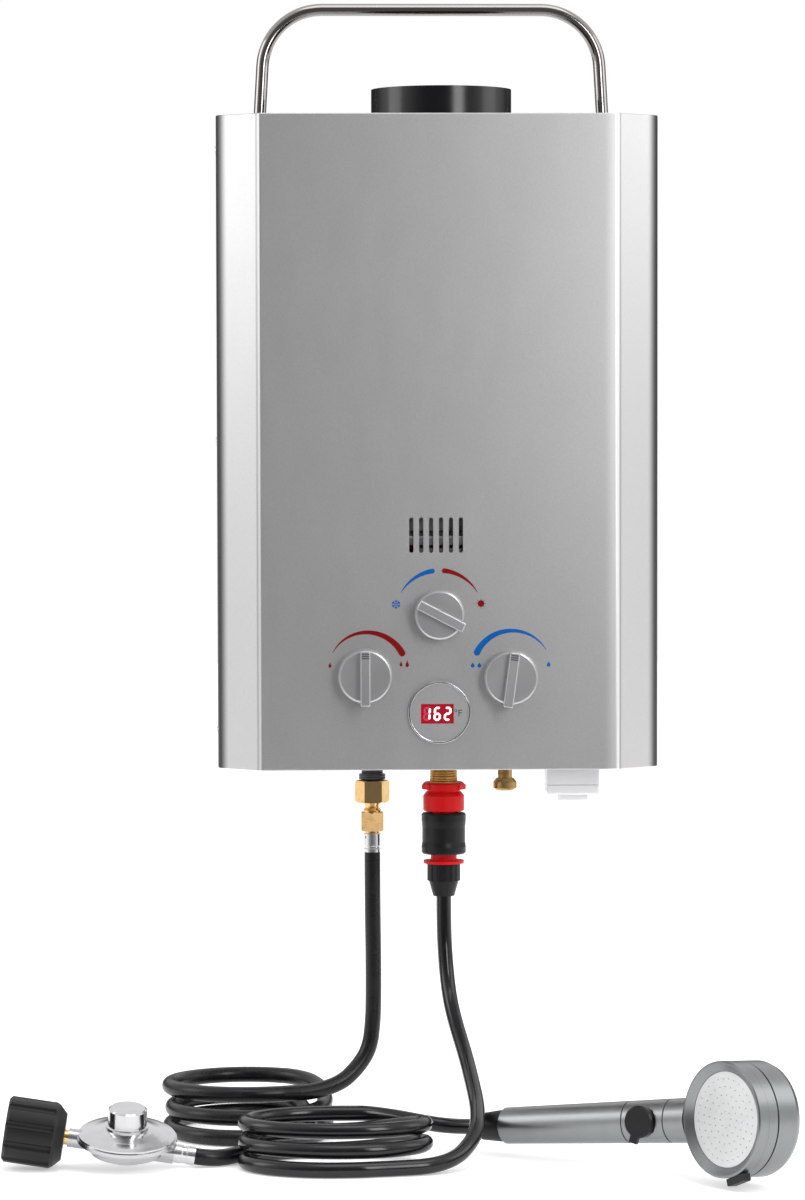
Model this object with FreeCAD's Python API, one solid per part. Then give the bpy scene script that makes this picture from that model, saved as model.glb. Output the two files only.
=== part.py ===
import FreeCAD, Part
import math
import os

os.makedirs("parts", exist_ok=True)

V = FreeCAD.Vector

# The frame: the origin is the top of the keyhole slot in the wall plane, the wall is y = 0,
# the casing hangs in front of it towards -Y, +X is the viewer's right and +Z is up.

# Casing, all in millimetres
CASE_W = 332.0
CASE_H = 490.0
CASE_D = 150.0
WALL_GAP = 14.0
HANG_DROP = 55.0
BEVEL_W = 33.0
BEVEL_D = 28.0
EDGE_R = 8.0
CREASE_R = 2.5
FOLD_R = 0.9
SHEET = 1.2
LIP = 14.0
PANEL_GAP = 0.3
FLANGE_D = 16.0

CASE_TOP = HANG_DROP
CASE_BOT = HANG_DROP - CASE_H
CASE_BACK = -WALL_GAP
CASE_FRONT = -WALL_GAP - CASE_D

# Front panel openings
VENT_COUNT = 6
VENT_PITCH = 7.4
VENT_W = 3.2
VENT_H = 26.4
VENT_X = -2.3
VENT_Z = -259.1
KNOB_X = {"gas": -55.6, "water": 53.4, "mode": 0.0}
KNOB_Z = {"gas": -364.2, "water": -365.6, "mode": -318.5}
KNOB_R = {"gas": 20.5, "water": 20.5, "mode": 18.9}
KNOB_TURN = {"gas": 0.0, "water": 7.6, "mode": -62.5}
KNOB_DEPTH = 11.0
KNOB_EDGE_R = 1.6
KNOB_OFF_PANEL = 1.0
GRIP_W = 7.4
GRIP_H = 7.0
GRIP_OVERHANG = 1.3
GRIP_SHORT = 1.0
STEM_R = 4.0
STEM_HOLE_GAP = 2.5
STEM_FIT = 0.05
VALVE_STEM_REACH = 8.0
KNOB_SOCKET_DEPTH = 12.0

# Display
DISPLAY_X = -0.1
DISPLAY_Z = -391.8
BEZEL_R = 23.5
BEZEL_W = 2.0
BEZEL_D = 2.4
FACE_D = 1.2
WINDOW_W = 24.6
WINDOW_H = 14.8
WINDOW_DX = -1.5
WINDOW_DZ = -0.9
MODULE_W = 36.0
MODULE_H = 24.0
MODULE_D = 9.0
DISPLAY_HOLE_R = 19.5

# Wall bracket and feet
BRACKET_W = 130.0
BRACKET_H = 46.0
BRACKET_WEB_W = 84.0
BRACKET_T = 1.5
KEY_SLOT_R = 3.25
KEY_SLOT_L = 9.0
KEY_ENTRY_R = 6.5
FOOT_R = 8.0
FOOT_X = 125.0
FOOT_Z = 28.0
SCREW_R = 1.95
SCREW_HEAD_R = 3.8
SCREW_HEAD_H = 2.0
SCREW_HOLE_GAP = 0.05
SCREW_Z = (35.0, -190.0, -415.0)
SCREW_IN = 8.0

# Carry handle, which folds back behind the casing
ROD_R = 4.8
HANDLE_Y = -8.0
HINGE_Z = 35.0
HANDLE_TOP_Z = 144.7
HANDLE_HALF_TOP = 128.6
HANDLE_HALF_LOW = 134.9
HANDLE_BEND_R = 46.0
HANDLE_FOOT_R = 10.0
JOURNAL_IN = 30.0
HINGE_FIT = 0.05
EAR_T = 2.5
EAR_GAP = 9.0
EAR_R = 6.0

# Flue, hood and heat exchanger
FLUE_X = 4.75
STACK_Y = -89.0
FLUE_R = 53.25
FLUE_WALL = 1.5
FLUE_RISE = 22.0
FLUE_FLANGE_R = 60.0
SPIGOT_R = 49.5
SPIGOT_RISE = 4.0
HOOD_W = 226.0
HOOD_D = 104.0
HOOD_BOT = -2.0
HOOD_TOP = 38.0
HOOD_WALL = 1.0
FIN_COUNT = 22
FIN_PITCH = 9.0
FIN_T = 0.8
FIN_DEPTH = 96.0
FIN_HEIGHT = 42.0
TUBE_R = 7.0
TUBE_FIT = 0.05
TUBE_WALL = 1.0
PASS_PITCH = 30.0
TURN_OUT = 4.0
RISER_OFF = 6.0
RISER_JOG = 24.0
TUBE_JOINT_DROP = 8.0
SHELL_W = 214.0
SHELL_D = 98.0
SHELL_WALL = 1.2
SHELL_BOT = -228.0
SHELL_TAB_X = 80.0
SHELL_TAB_W = 18.0
SHELL_TAB_H = 12.0
SHELL_TAB_Z = 30.0
BURNER_COUNT = 8
BURNER_W = 14.0
BURNER_PITCH = 24.0
BURNER_DEPTH = 84.0
BURNER_H = 44.0
BURNER_WALL = 1.0
BURNER_SLOTS = 12
BURNER_SLOT_W = 2.0
BURNER_SLOT_DEEP = 3.0
FRAME_WALL = 1.2
FRAME_H = 52.0
FRAME_FLOOR_H = 1.2
MANIFOLD_R = 8.0
MANIFOLD_L = 196.0
MANIFOLD_GAP = 1.0
JET_R = 3.0
JET_HOLE_R = 4.0
JET_GAP = 0.4
RISER_R = 6.0
RISER_DROP = 9.0
MODE_BODY_FRONT = 6.0
MODE_BODY_BACK = 7.5
MODE_STEM_REACH = 5.0
MODE_BODY_W = 34.0
MODE_BODY_H = 26.0
PIN_R = 1.6
PIN_CERAMIC_R = 3.6
PIN_REACH = 34.0
PIN_CERAMIC_L = 18.0
PIN_OUT = 10.0
PIN_TIP_OUT = 14.0
PIN_RISE = 14.0
PIN_X = (-36.0, -12.0, 36.0)

# Gas and water valves
VALVE_BACK = -60.0
VALVE_FRONT = -136.0
VALVE_TOP = -336.0
VALVE_BOT = -400.0
VALVE_WALL = 5.0
GAS_VALVE_W = 56.0
WATER_VALVE_W = 48.0
BOSS_R = 10.0
BOSS_OUT = 12.0
SOLENOID_R = 11.0
SOLENOID_L = 34.0
SOLENOID_Y = -92.0
SOLENOID_Z = -372.0
SOLENOID_PIN_SHARE = 0.4
SOLENOID_PIN_L = 8.0
VALVE_EDGE_R = 5.0
STEM_BORE_IN = 12.0
CHAMBER_IN = 14.0
CHAMBER_BASE = 20.0
DRAIN_BORE_L = 26.0
DRAIN_BORE_DROP = 8.0
DIAPHRAGM_R = 27.0
DIAPHRAGM_T = 14.0
DIAPHRAGM_Y = -95.0
DIAPHRAGM_Z = -368.0
IGNITER_W = 46.0
IGNITER_D = 34.0
IGNITER_H = 44.0
IGNITER_SIDE_GAP = 15.0
IGNITER_BACK_GAP = 56.0
SENSOR_R = 7.5
SENSOR_H = 5.0
SENSOR_Z = -180.0
SENSOR_TAB_L = 6.0
SENSOR_TAB_W = 6.0
SENSOR_TAB_T = 2.0

# Fittings under the casing
FIT_Y = -79.0
GAS_X = -48.6
HOT_X = 6.2
DRAIN_X = 53.3
COLD_X = 102.0
COLD_Y = -50.0
HOT_BACK_Y = -42.0
HOT_JOG_TOP = -300.0
HOT_JOG_BOT = -318.0
HOT_RUN_Z = -412.0
HOT_END_Z = -404.0
HOT_BEND_R = 13.0
COLD_SIDE_Y = -75.0
COLD_SIDE_Z = -380.0
COLD_TURN_Z = -398.0
COLD_BEND_R = 11.0
THREAD_R = 10.4775
THREAD_PITCH = 1.814
INLET_DROP = 25.0
OUTLET_DROP = 20.0
OUTLET_RISE = 12.0
THREAD_RINGS = 6
THREAD_DEEP = 0.8
THREAD_ROOT_W = 0.8
ADAPTER_DROP = 16.1
GAS_NIPPLE_R = 8.2
GAS_NIPPLE_DROP = 9.6
GAS_NIPPLE_IN = 14.0
GAS_NIPPLE_WALL = 1.0
GAS_BOSS_WALL = 3.0
GAS_BORE_L = 30.0
GAS_COLLAR_R = 10.2
GAS_COLLAR_H = 3.8
FLARE_AF = 23.0
FLARE_H = 16.8
FLARE_GAP = 1.2
FLARE_TURN = 2.3
FLARE_NECK_R = 6.9
FLARE_WAIST_R = 5.4
FLARE_NECK_H = 7.6
UNION_AF = 17.0
UNION_TURN = 30.0
UNION_H = 14.4
UNION_NECK_R = 5.6
UNION_NECK_H = 1.5
FERRULE_R = 6.45
FERRULE_H = 14.7
DRAIN_NECK_R = 5.4
DRAIN_HEAD_R = 9.0
DRAIN_HEAD_H = 9.3
DRAIN_NECK_BOT = -448.2
DRAIN_BOSS_R = 8.6

# Quick connector on the hot outlet
ADAPTER_FLANGE_R = 16.1
ADAPTER_FLANGE_H = 5.2
ADAPTER_FLANGE_CHAMFER = 1.4
ADAPTER_EAR = 0.5
ADAPTER_EAR_W = 10.0
ADAPTER_NECK_R = 12.6
ADAPTER_NECK_H = 2.1
ADAPTER_BODY_R = 15.75
ADAPTER_BODY_H = 14.7
ADAPTER_SPIGOT_R = 8.6
ADAPTER_SPIGOT_H = 9.0
SLEEVE_GAP = 1.7
SLEEVE_R = 17.05
SLEEVE_WAIST_R = 16.5
SLEEVE_H = 31.3
SLEEVE_BORE_R = 11.6
SLEEVE_FIT = 0.08
CONNECTOR_NECK_R = 10.0
CONNECTOR_NECK_H = 5.2
CONNECTOR_BORE_R = 5.8
ADAPTER_BORE_R = 6.2
CONNECTOR_FLANGE_R = 15.5
CONNECTOR_FLANGE_H = 2.2
HOSE_NUT_R = 12.7
HOSE_NUT_H = 13.3
HOSE_NUT_TIP_R = 8.2
HOSE_NUT_TAPER_H = 11.8
HOSE_NUT_STEP = 1.2
HOSE_NUT_GROOVES = 16
HOSE_NUT_GROOVE_R = 0.8

# Battery box
BOX_X = 102.0
BOX_Y = -120.0
BOX_W = 39.6
BOX_WALL = 1.8
BOX_SEAM_Z = -448.6
BOX_TOP_Z = -319.0
LID_H = 7.5
LID_CHAMFER = 1.6
LID_TAB_W = 22.3
LID_TAB_H = 4.2
LID_TAB_T = 5.0
LID_GAP = 0.3
LID_HINGE_R = 1.5
LID_KNUCKLE_R = 3.0
CELL_R = 16.6
CELL_H = 61.0

# Floor under the hanging heater and the hoses that lie on it
FLOOR_Z = -718.0
GAS_HOSE_R = 6.15
SHOWER_HOSE_R = 5.75
LAYER_GAP = 0.6

# Regulator on the floor: its axis runs from the hose end to the tank nut
REG_START = V(-182.4, -250.0, FLOOR_Z + 8.2)
REG_END = V(-299.0, -250.0, FLOOR_Z + 26.3)
REG_FERRULE_R = 6.9
REG_FERRULE_L = 15.5
REG_SPUD_R = 8.0
REG_DISC_AT = 50.5
REG_RIM_R = 36.6
REG_RIM_T = 3.4
REG_RIM_RISE = 8.0
REG_LEAN_FRONT = 13.0
REG_LEAN_SIDE = 2.5
REG_PAN_R = 27.0
REG_PAN_BELOW = 8.5
REG_DOME_R = 20.0
REG_DOME_H = 6.4
REG_CAP_R = 14.1
REG_CAP_H = 14.4
REG_INLET_R = 6.9
REG_INLET_END = 93.7
TANK_NIPPLE_R = 5.6
TANK_NIPPLE_NOSE_R = 4.4
TANK_NUT_R = 24.1
TANK_NUT_L = 43.0
TANK_NUT_BORE_R = 16.6
TANK_NUT_BORE_L = 26.0
TANK_NUT_RIBS = 10
TANK_NUT_GROOVE_R = 3.2
TANK_NUT_BACK_R = 17.0
TANK_NUT_BACK_L = 9.0
TANK_COLLAR_R = 9.5
TANK_COLLAR_T = 3.0
SPIN_FIT = 0.05

# Shower handset: its axis runs from the hose end up to the head
HAND_START = V(31.2, -200.0, FLOOR_Z + 20.5)
HAND_END = V(220.4, -334.9, FLOOR_Z + 47.0)
HEAD_FACE_YAW = 54.7
HEAD_FACE_LIFT = 4.3
HEAD_R = 41.4
HEAD_D = 41.0
HEAD_AXIS_BACK = 34.8
HAND_NUT_L = 20.0
HAND_NUT_R0 = 10.0
HAND_NUT_R1 = 11.7
HAND_R0 = 13.45
HAND_R1 = 16.45
HAND_GROOVE_AT = (128.1, 163.6)
HAND_GROOVE_W = 1.2
HAND_GROOVE_DEEP = 0.7
HAND_LEN = 181.0
HAND_NECK_STEP = 6.0
HAND_NECK_L = 21.0
KNOB_AT = 145.6
STOP_KNOB_R = 11.75
STOP_KNOB_H = 5.0
STOP_SEAT_R = 12.4
STOP_TAB_L = 16.0
STOP_TAB_W = 6.4
STOP_TAB_TURN = 20.0
STOP_STEM_R = 4.0
STOP_STEM_L = 6.0
SEAM_BEHIND_FACE = 17.8
SEAM_DEEP = 0.9
RING_D = 9.0
RING_WALL = 7.2
RING_FUNNEL = 4.2
RING_FIT = 0.1
PLATE_R = 33.9
PLATE_D = 2.6
PLATE_RECESS = 4.4
NOZZLE_RINGS = (8, 14, 20, 26, 32)
NOZZLE_PITCH = 5.8
NOZZLE_R = 0.4
LEVER_TURN = 22.0
LEVER_W = 18.0
LEVER_L = 5.2
LEVER_SHORT = 2.0
LEVER_CORNER_R = 1.5


def solid_cylinder(radius, height, base, direction=V(0, 0, 1)):
    return Part.makeCylinder(radius, height, base, direction)


def ring(outer, inner, height, base, direction=V(0, 0, 1)):
    hole_base = base - direction * 1.0
    return solid_cylinder(outer, height, base, direction).cut(
        solid_cylinder(inner, height + 2.0, hole_base, direction))


def block(x0, x1, y0, y1, z0, z1):
    return Part.makeBox(x1 - x0, y1 - y0, z1 - z0, V(x0, y0, z0))


def axis_turn(direction):
    return FreeCAD.Rotation(V(0, 0, 1), direction)


def place(shape, base, rotation):
    moved = shape.copy()
    moved.Placement = FreeCAD.Placement(base, rotation).multiply(moved.Placement)
    return moved


def revolve(profile, base=V(0, 0, 0), rotation=FreeCAD.Rotation()):
    """Turns (radius, height) points about the local Z axis and places the solid."""
    points = [V(r, 0, z) for r, z in profile]
    points.append(points[0])
    face = Part.Face(Part.makePolygon(points))
    solid = face.revolve(V(0, 0, 0), V(0, 0, 1), 360)
    return place(solid, base, rotation)


def hexagon(across_flats, height, base, turn=0.0):
    radius = across_flats / math.sqrt(3.0)
    points = []
    for k in range(7):
        angle = math.radians(60.0 * k + turn)
        points.append(V(radius * math.cos(angle), radius * math.sin(angle), 0))
    prism = Part.Face(Part.makePolygon(points)).extrude(V(0, 0, height))
    chamfer = radius * 0.12
    cone = revolve([(0, 0), (radius - chamfer, 0), (radius, chamfer * 0.6),
                    (radius, height - chamfer * 0.6), (radius - chamfer, height), (0, height)])
    return place(prism.common(cone), base, FreeCAD.Rotation())


def inset_outline(inset):
    """The casing's plan outline moved inwards by a distance, open at the back."""
    half = CASE_W / 2.0
    corners = [V(-half, CASE_BACK, 0), V(-half, CASE_FRONT + BEVEL_D, 0),
               V(-half + BEVEL_W, CASE_FRONT, 0), V(half - BEVEL_W, CASE_FRONT, 0),
               V(half, CASE_FRONT + BEVEL_D, 0), V(half, CASE_BACK, 0)]
    slope = math.hypot(BEVEL_W, BEVEL_D)
    left_bevel = V(BEVEL_D / slope, BEVEL_W / slope, 0)
    right_bevel = V(-BEVEL_D / slope, BEVEL_W / slope, 0)
    normals = [V(1, 0, 0), left_bevel, V(0, 1, 0), right_bevel, V(-1, 0, 0)]
    points = [corners[0] + normals[0] * inset]
    for k in range(1, 5):
        a = normals[k - 1]
        b = normals[k]
        points.append(corners[k] + (a + b) * (inset / (1.0 + a.dot(b))))
    points.append(corners[5] + normals[4] * inset)
    return points


def case_prism(inset, z0, z1, back, edge_radius, crease_radius, fold_radius=0.0):
    points = inset_outline(inset)
    points[0] = V(points[0].x, back, 0)
    points[5] = V(points[5].x, back, 0)
    loop = [V(p.x, p.y, z0) for p in points]
    loop.append(loop[0])
    prism = Part.Face(Part.makePolygon(loop)).extrude(V(0, 0, z1 - z0))
    for indices, radius in (((1, 4), edge_radius), ((2, 3), crease_radius)):
        edges = []
        for edge in prism.Edges:
            mid = edge.CenterOfMass
            upright = abs(edge.BoundBox.ZLength - (z1 - z0)) < 1e-6
            if upright and any(math.hypot(mid.x - points[k].x, mid.y - points[k].y) < 1e-3 for k in indices):
                edges.append(edge)
        prism = prism.makeFillet(radius, edges)
    if fold_radius > 0.0:
        edges = [e for e in prism.Edges
                 if e.BoundBox.ZLength < 1e-6 and e.BoundBox.YMin < back - 1e-3]
        prism = prism.makeFillet(fold_radius, edges)
    return prism


def arc_by_corner(start, corner, end):
    """The arc from start to end that is tangent to the lines meeting at the corner."""
    middle = (start + end) * 0.5
    chord = end - start
    rise = corner - middle
    if rise.Length < 1e-7:
        return Part.LineSegment(start, end)
    half_turn = math.atan2(rise.Length, chord.Length / 2.0)
    sagitta = chord.Length / 2.0 * math.tan(half_turn / 2.0)
    top = middle + rise.normalize() * sagitta
    return Part.Arc(start, top, end)


def route_edges(points, name):
    """Straight runs with tangent arcs, each as large as its two runs allow."""
    edges = []
    radii = []
    here = points[0]
    for k in range(1, len(points) - 1):
        into = points[k] - points[k - 1]
        out = points[k + 1] - points[k]
        turn = into.getAngle(out)
        tangent = 0.45 * min(into.Length, out.Length)
        radii.append(tangent / math.tan(turn / 2.0))
        start = points[k] - into.normalize() * tangent
        end = points[k] + out.normalize() * tangent
        edges.append(Part.LineSegment(here, start).toShape())
        edges.append(arc_by_corner(start, points[k], end).toShape())
        here = end
    edges.append(Part.LineSegment(here, points[-1]).toShape())
    print(name, "bend radii", [round(r, 1) for r in radii])
    return edges


def bent_pipe(points, bend_radius, pipe_radius, name):
    """A rigid pipe with one bend radius at every corner, hollow from end to end."""
    edges = []
    here = points[0]
    for k in range(1, len(points) - 1):
        into = points[k] - points[k - 1]
        out = points[k + 1] - points[k]
        tangent = bend_radius * math.tan(into.getAngle(out) / 2.0)
        start = points[k] - into.normalize() * tangent
        end = points[k] + out.normalize() * tangent
        if (start - here).Length > 1e-6:
            edges.append(Part.LineSegment(here, start).toShape())
        edges.append(arc_by_corner(start, points[k], end).toShape())
        here = end
    edges.append(Part.LineSegment(here, points[-1]).toShape())
    outside = sweep_tube(edges, pipe_radius, name)
    return outside.cut(sweep_tube(edges, pipe_radius - TUBE_WALL, name + " bore"))


def sweep_tube(edges, radius, name):
    wire = Part.Wire(edges)
    first = edges[0]
    start = first.valueAt(first.FirstParameter)
    tangent = first.tangentAt(first.FirstParameter)
    circle = Part.Wire([Part.makeCircle(radius, start, tangent)])
    tube = wire.makePipeShell([circle], True, False)
    expected = math.pi * radius ** 2 * wire.Length
    print(name, "length", round(wire.Length, 1), "volume ratio", round(tube.Volume / expected, 4),
          "valid", tube.isValid())
    return tube


def biarc(p0, t0, p1, t1):
    """Two tangent arcs from p0 along t0 to p1 along t1."""
    gap = p1 - p0
    along = gap.dot(t0 + t1)
    spread = 2.0 * (1.0 - t0.dot(t1))
    if spread < 1e-9:
        reach = gap.dot(gap) / (2.0 * along)
    else:
        reach = (-along + math.sqrt(along ** 2 + spread * gap.dot(gap))) / spread
    first_corner = p0 + t0 * reach
    second_corner = p1 - t1 * reach
    joint = (first_corner + second_corner) * 0.5
    return [arc_by_corner(p0, first_corner, joint), arc_by_corner(joint, second_corner, p1)]


class Coil:
    """Loose loops lying on each other. Each row of shapes holds a travel in degrees, the oval's
    centre and its two half widths there; each climb lifts the hose by one layer."""

    def __init__(self, hose_radius, start, sense, climbs, shapes):
        self.hose_radius = hose_radius
        self.start = start
        self.sense = sense
        self.climbs = climbs
        self.shapes = shapes

    def shape_at(self, travel, index):
        value = self.shapes[0][index]
        for before, after in zip(self.shapes[:-1], self.shapes[1:]):
            share = max(0.0, min(1.0, (travel - before[0]) / (after[0] - before[0])))
            share = share * share * (3.0 - 2.0 * share)
            value += (after[index] - before[index]) * share
        return value

    def height(self, travel):
        layer = 0.0
        for begin, finish in self.climbs:
            share = max(0.0, min(1.0, (travel - begin) / (finish - begin)))
            layer += share * share * (3.0 - 2.0 * share)
        return FLOOR_Z + self.hose_radius + layer * (2.0 * self.hose_radius + LAYER_GAP)

    def point(self, travel):
        angle = math.radians(self.start + self.sense * travel)
        x = self.shape_at(travel, 1) + self.shape_at(travel, 3) * math.cos(angle)
        y = self.shape_at(travel, 2) + self.shape_at(travel, 4) * math.sin(angle)
        return V(x, y, self.height(travel))

    def heading(self, travel):
        step = 0.05
        return (self.point(travel + step) - self.point(travel - step)).normalize()

    def edges(self, stops):
        diameter = 2.0 * self.hose_radius
        first = self.point(stops[0])
        last = self.point(stops[-1])
        shapes = [Part.LineSegment(first - self.heading(stops[0]) * diameter, first).toShape()]
        for a, b in zip(stops[:-1], stops[1:]):
            for arc in biarc(self.point(a), self.heading(a), self.point(b), self.heading(b)):
                shapes.append(arc.toShape())
        shapes.append(Part.LineSegment(last, last + self.heading(stops[-1]) * diameter).toShape())
        return shapes

    def before(self, stops, reach):
        """A point on the straight line into the coil, measured from the stub's end."""
        return self.point(stops[0]) - self.heading(stops[0]) * (2.0 * self.hose_radius + reach)

    def after(self, stops, reach):
        return self.point(stops[-1]) + self.heading(stops[-1]) * (2.0 * self.hose_radius + reach)


def least_self_gap(edges, radius, name):
    """Prints the least gap of a tube to itself, measured on points along its line."""
    samples = []
    walked = 0.0
    for edge in edges:
        count = max(2, int(edge.Length / 3.0))
        for point in edge.discretize(count)[:-1]:
            samples.append((walked, point))
            walked += edge.Length / (count - 1)
    least = 1e9
    for i, (at, point) in enumerate(samples):
        for other_at, other in samples[i + 1:]:
            if other_at - at > 6.0 * radius:
                least = min(least, (other - point).Length)
    print(name, "least self gap", round(least - 2.0 * radius, 2))


PARTS = {}

# Front cover: one wrapped sheet with narrow lips at the top and the bottom
cover = case_prism(0.0, CASE_BOT, CASE_TOP, CASE_BACK, EDGE_R, CREASE_R, FOLD_R)
cover = cover.cut(case_prism(SHEET, CASE_BOT + SHEET, CASE_TOP - SHEET, CASE_BACK + 1.0,
                             EDGE_R - SHEET, CREASE_R - SHEET))
cover = cover.cut(case_prism(LIP, CASE_BOT - 1.0, CASE_TOP + 1.0, CASE_BACK + 1.0, EDGE_R, CREASE_R))
for k in range(VENT_COUNT):
    x = VENT_X + (k - (VENT_COUNT - 1) / 2.0) * VENT_PITCH
    straight = VENT_H - VENT_W
    slot = block(x - VENT_W / 2, x + VENT_W / 2, CASE_FRONT - 1, CASE_FRONT + SHEET + 1,
                 VENT_Z - straight / 2, VENT_Z + straight / 2)
    for end_z in (VENT_Z - straight / 2, VENT_Z + straight / 2):
        slot = slot.fuse(solid_cylinder(VENT_W / 2, SHEET + 2, V(x, CASE_FRONT - 1, end_z), V(0, 1, 0)))
    cover = cover.cut(slot)
for name in KNOB_X:
    cover = cover.cut(solid_cylinder(STEM_R + STEM_HOLE_GAP, SHEET + 2,
                                     V(KNOB_X[name], CASE_FRONT - 1, KNOB_Z[name]), V(0, 1, 0)))
display_at = V(DISPLAY_X, CASE_FRONT - 1, DISPLAY_Z)
cover = cover.cut(solid_cylinder(DISPLAY_HOLE_R, SHEET + 2, display_at, V(0, 1, 0)))

# Rear panel: back, top and bottom plates and two side flanges bent from one sheet
plate_in = SHEET + PANEL_GAP
panel_top = CASE_TOP - plate_in
panel_bot = CASE_BOT + plate_in
panel_half = CASE_W / 2 - plate_in
panel = case_prism(plate_in, panel_bot, panel_top, CASE_BACK, EDGE_R - plate_in, CREASE_R - SHEET)
panel = panel.cut(block(-panel_half + SHEET, panel_half - SHEET, CASE_FRONT - 5, CASE_BACK - SHEET,
                        panel_bot + SHEET, panel_top - SHEET))
panel = panel.cut(block(-CASE_W, CASE_W, CASE_FRONT - 5, CASE_BACK - FLANGE_D,
                        panel_bot + SHEET, panel_top - SHEET))
panel = panel.cut(solid_cylinder(SPIGOT_R + PANEL_GAP, 6, V(FLUE_X, STACK_Y, panel_top - 3)))
under_holes = ((GAS_X, FIT_Y, GAS_NIPPLE_R + 0.5), (HOT_X, FIT_Y, THREAD_R + 1.5),
               (DRAIN_X, FIT_Y, DRAIN_NECK_R + 0.6), (COLD_X, COLD_Y, THREAD_R + 1.5))
for x, y, radius in under_holes:
    panel = panel.cut(solid_cylinder(radius, 6, V(x, y, panel_bot - 3)))
box_half = BOX_W / 2
panel = panel.cut(block(BOX_X - box_half - PANEL_GAP, BOX_X + box_half + PANEL_GAP,
                        BOX_Y - box_half - PANEL_GAP, BOX_Y + box_half + PANEL_GAP,
                        panel_bot - 3, panel_bot + 3))

# Case screws through the cover's sides into the flanges
screws = []
for side in (-1, 1):
    for z in SCREW_Z:
        outward = V(side, 0, 0)
        seat = V(side * CASE_W / 2, CASE_BACK - FLANGE_D / 2, z)
        hole = solid_cylinder(SCREW_R + SCREW_HOLE_GAP, SCREW_IN, seat - outward * (SCREW_IN - 1), outward)
        cover = cover.cut(hole)
        panel = panel.cut(hole)
        head = solid_cylinder(SCREW_HEAD_R, SCREW_HEAD_H, seat, outward)
        head = head.makeFillet(SCREW_HEAD_H * 0.6, [e for e in head.Edges
                                                    if abs(e.CenterOfMass.x - seat.x) > SCREW_HEAD_H * 0.9])
        screws.append(head.fuse(solid_cylinder(SCREW_R, SCREW_IN, seat - outward * SCREW_IN, outward)))

PARTS["front_cover"] = cover
PARTS["rear_panel"] = panel
PARTS["case_screws"] = Part.makeCompound(screws)

# Wall bracket: a hat-shaped strip with a keyhole in the middle of its web
foot_w = (BRACKET_W - BRACKET_WEB_W) / 2
key_centre_z = -BRACKET_H / 2 + KEY_SLOT_R + 6.0
bracket_z0 = key_centre_z - BRACKET_H / 2
bracket_z1 = key_centre_z + BRACKET_H / 2
bracket = block(-BRACKET_WEB_W / 2, BRACKET_WEB_W / 2, -BRACKET_T, 0, bracket_z0, bracket_z1)
for side in (-1, 1):
    edge = side * BRACKET_WEB_W / 2
    wall_in = edge - side * BRACKET_T
    bracket = bracket.fuse(block(min(edge, wall_in), max(edge, wall_in), CASE_BACK, 0, bracket_z0, bracket_z1))
    tip = edge + side * foot_w
    bracket = bracket.fuse(block(min(edge, tip), max(edge, tip), CASE_BACK, CASE_BACK + BRACKET_T,
                                 bracket_z0, bracket_z1))
bracket = bracket.removeSplitter()
bracket = bracket.cut(solid_cylinder(KEY_SLOT_R, 6, V(0, -4, 0), V(0, 1, 0)))
bracket = bracket.cut(block(-KEY_SLOT_R, KEY_SLOT_R, -4, 2, -KEY_SLOT_L, 0))
bracket = bracket.cut(solid_cylinder(KEY_ENTRY_R, 6, V(0, -4, -KEY_SLOT_L - KEY_ENTRY_R + 1.5), V(0, 1, 0)))
PARTS["wall_bracket"] = bracket

feet = []
for side in (-1, 1):
    foot = solid_cylinder(FOOT_R, WALL_GAP, V(side * FOOT_X, CASE_BACK, CASE_BOT + FOOT_Z), V(0, 1, 0))
    rim = [e for e in foot.Edges if abs(e.CenterOfMass.y) < 1e-6]
    feet.append(foot.makeFillet(1.2, rim))
PARTS["rubber_feet"] = Part.makeCompound(feet)

# Carry handle: one bent rod whose inturned ends are its hinge journals
low_z = HINGE_Z
handle_path = [V(-HANDLE_HALF_LOW + JOURNAL_IN, HANDLE_Y, low_z), V(-HANDLE_HALF_LOW, HANDLE_Y, low_z),
               V(-HANDLE_HALF_TOP, HANDLE_Y, HANDLE_TOP_Z), V(HANDLE_HALF_TOP, HANDLE_Y, HANDLE_TOP_Z),
               V(HANDLE_HALF_LOW, HANDLE_Y, low_z), V(HANDLE_HALF_LOW - JOURNAL_IN, HANDLE_Y, low_z)]
handle_radii = [HANDLE_FOOT_R, HANDLE_BEND_R, HANDLE_BEND_R, HANDLE_FOOT_R]
handle_edges = []
here = handle_path[0]
for k in range(1, 5):
    into = handle_path[k] - handle_path[k - 1]
    out = handle_path[k + 1] - handle_path[k]
    tangent = handle_radii[k - 1] * math.tan(into.getAngle(out) / 2)
    start = handle_path[k] - into.normalize() * tangent
    end = handle_path[k] + out.normalize() * tangent
    handle_edges.append(Part.LineSegment(here, start).toShape())
    handle_edges.append(arc_by_corner(start, handle_path[k], end).toShape())
    here = end
handle_edges.append(Part.LineSegment(here, handle_path[-1]).toShape())
PARTS["carry_handle"] = sweep_tube(handle_edges, ROD_R, "carry_handle")

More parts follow.
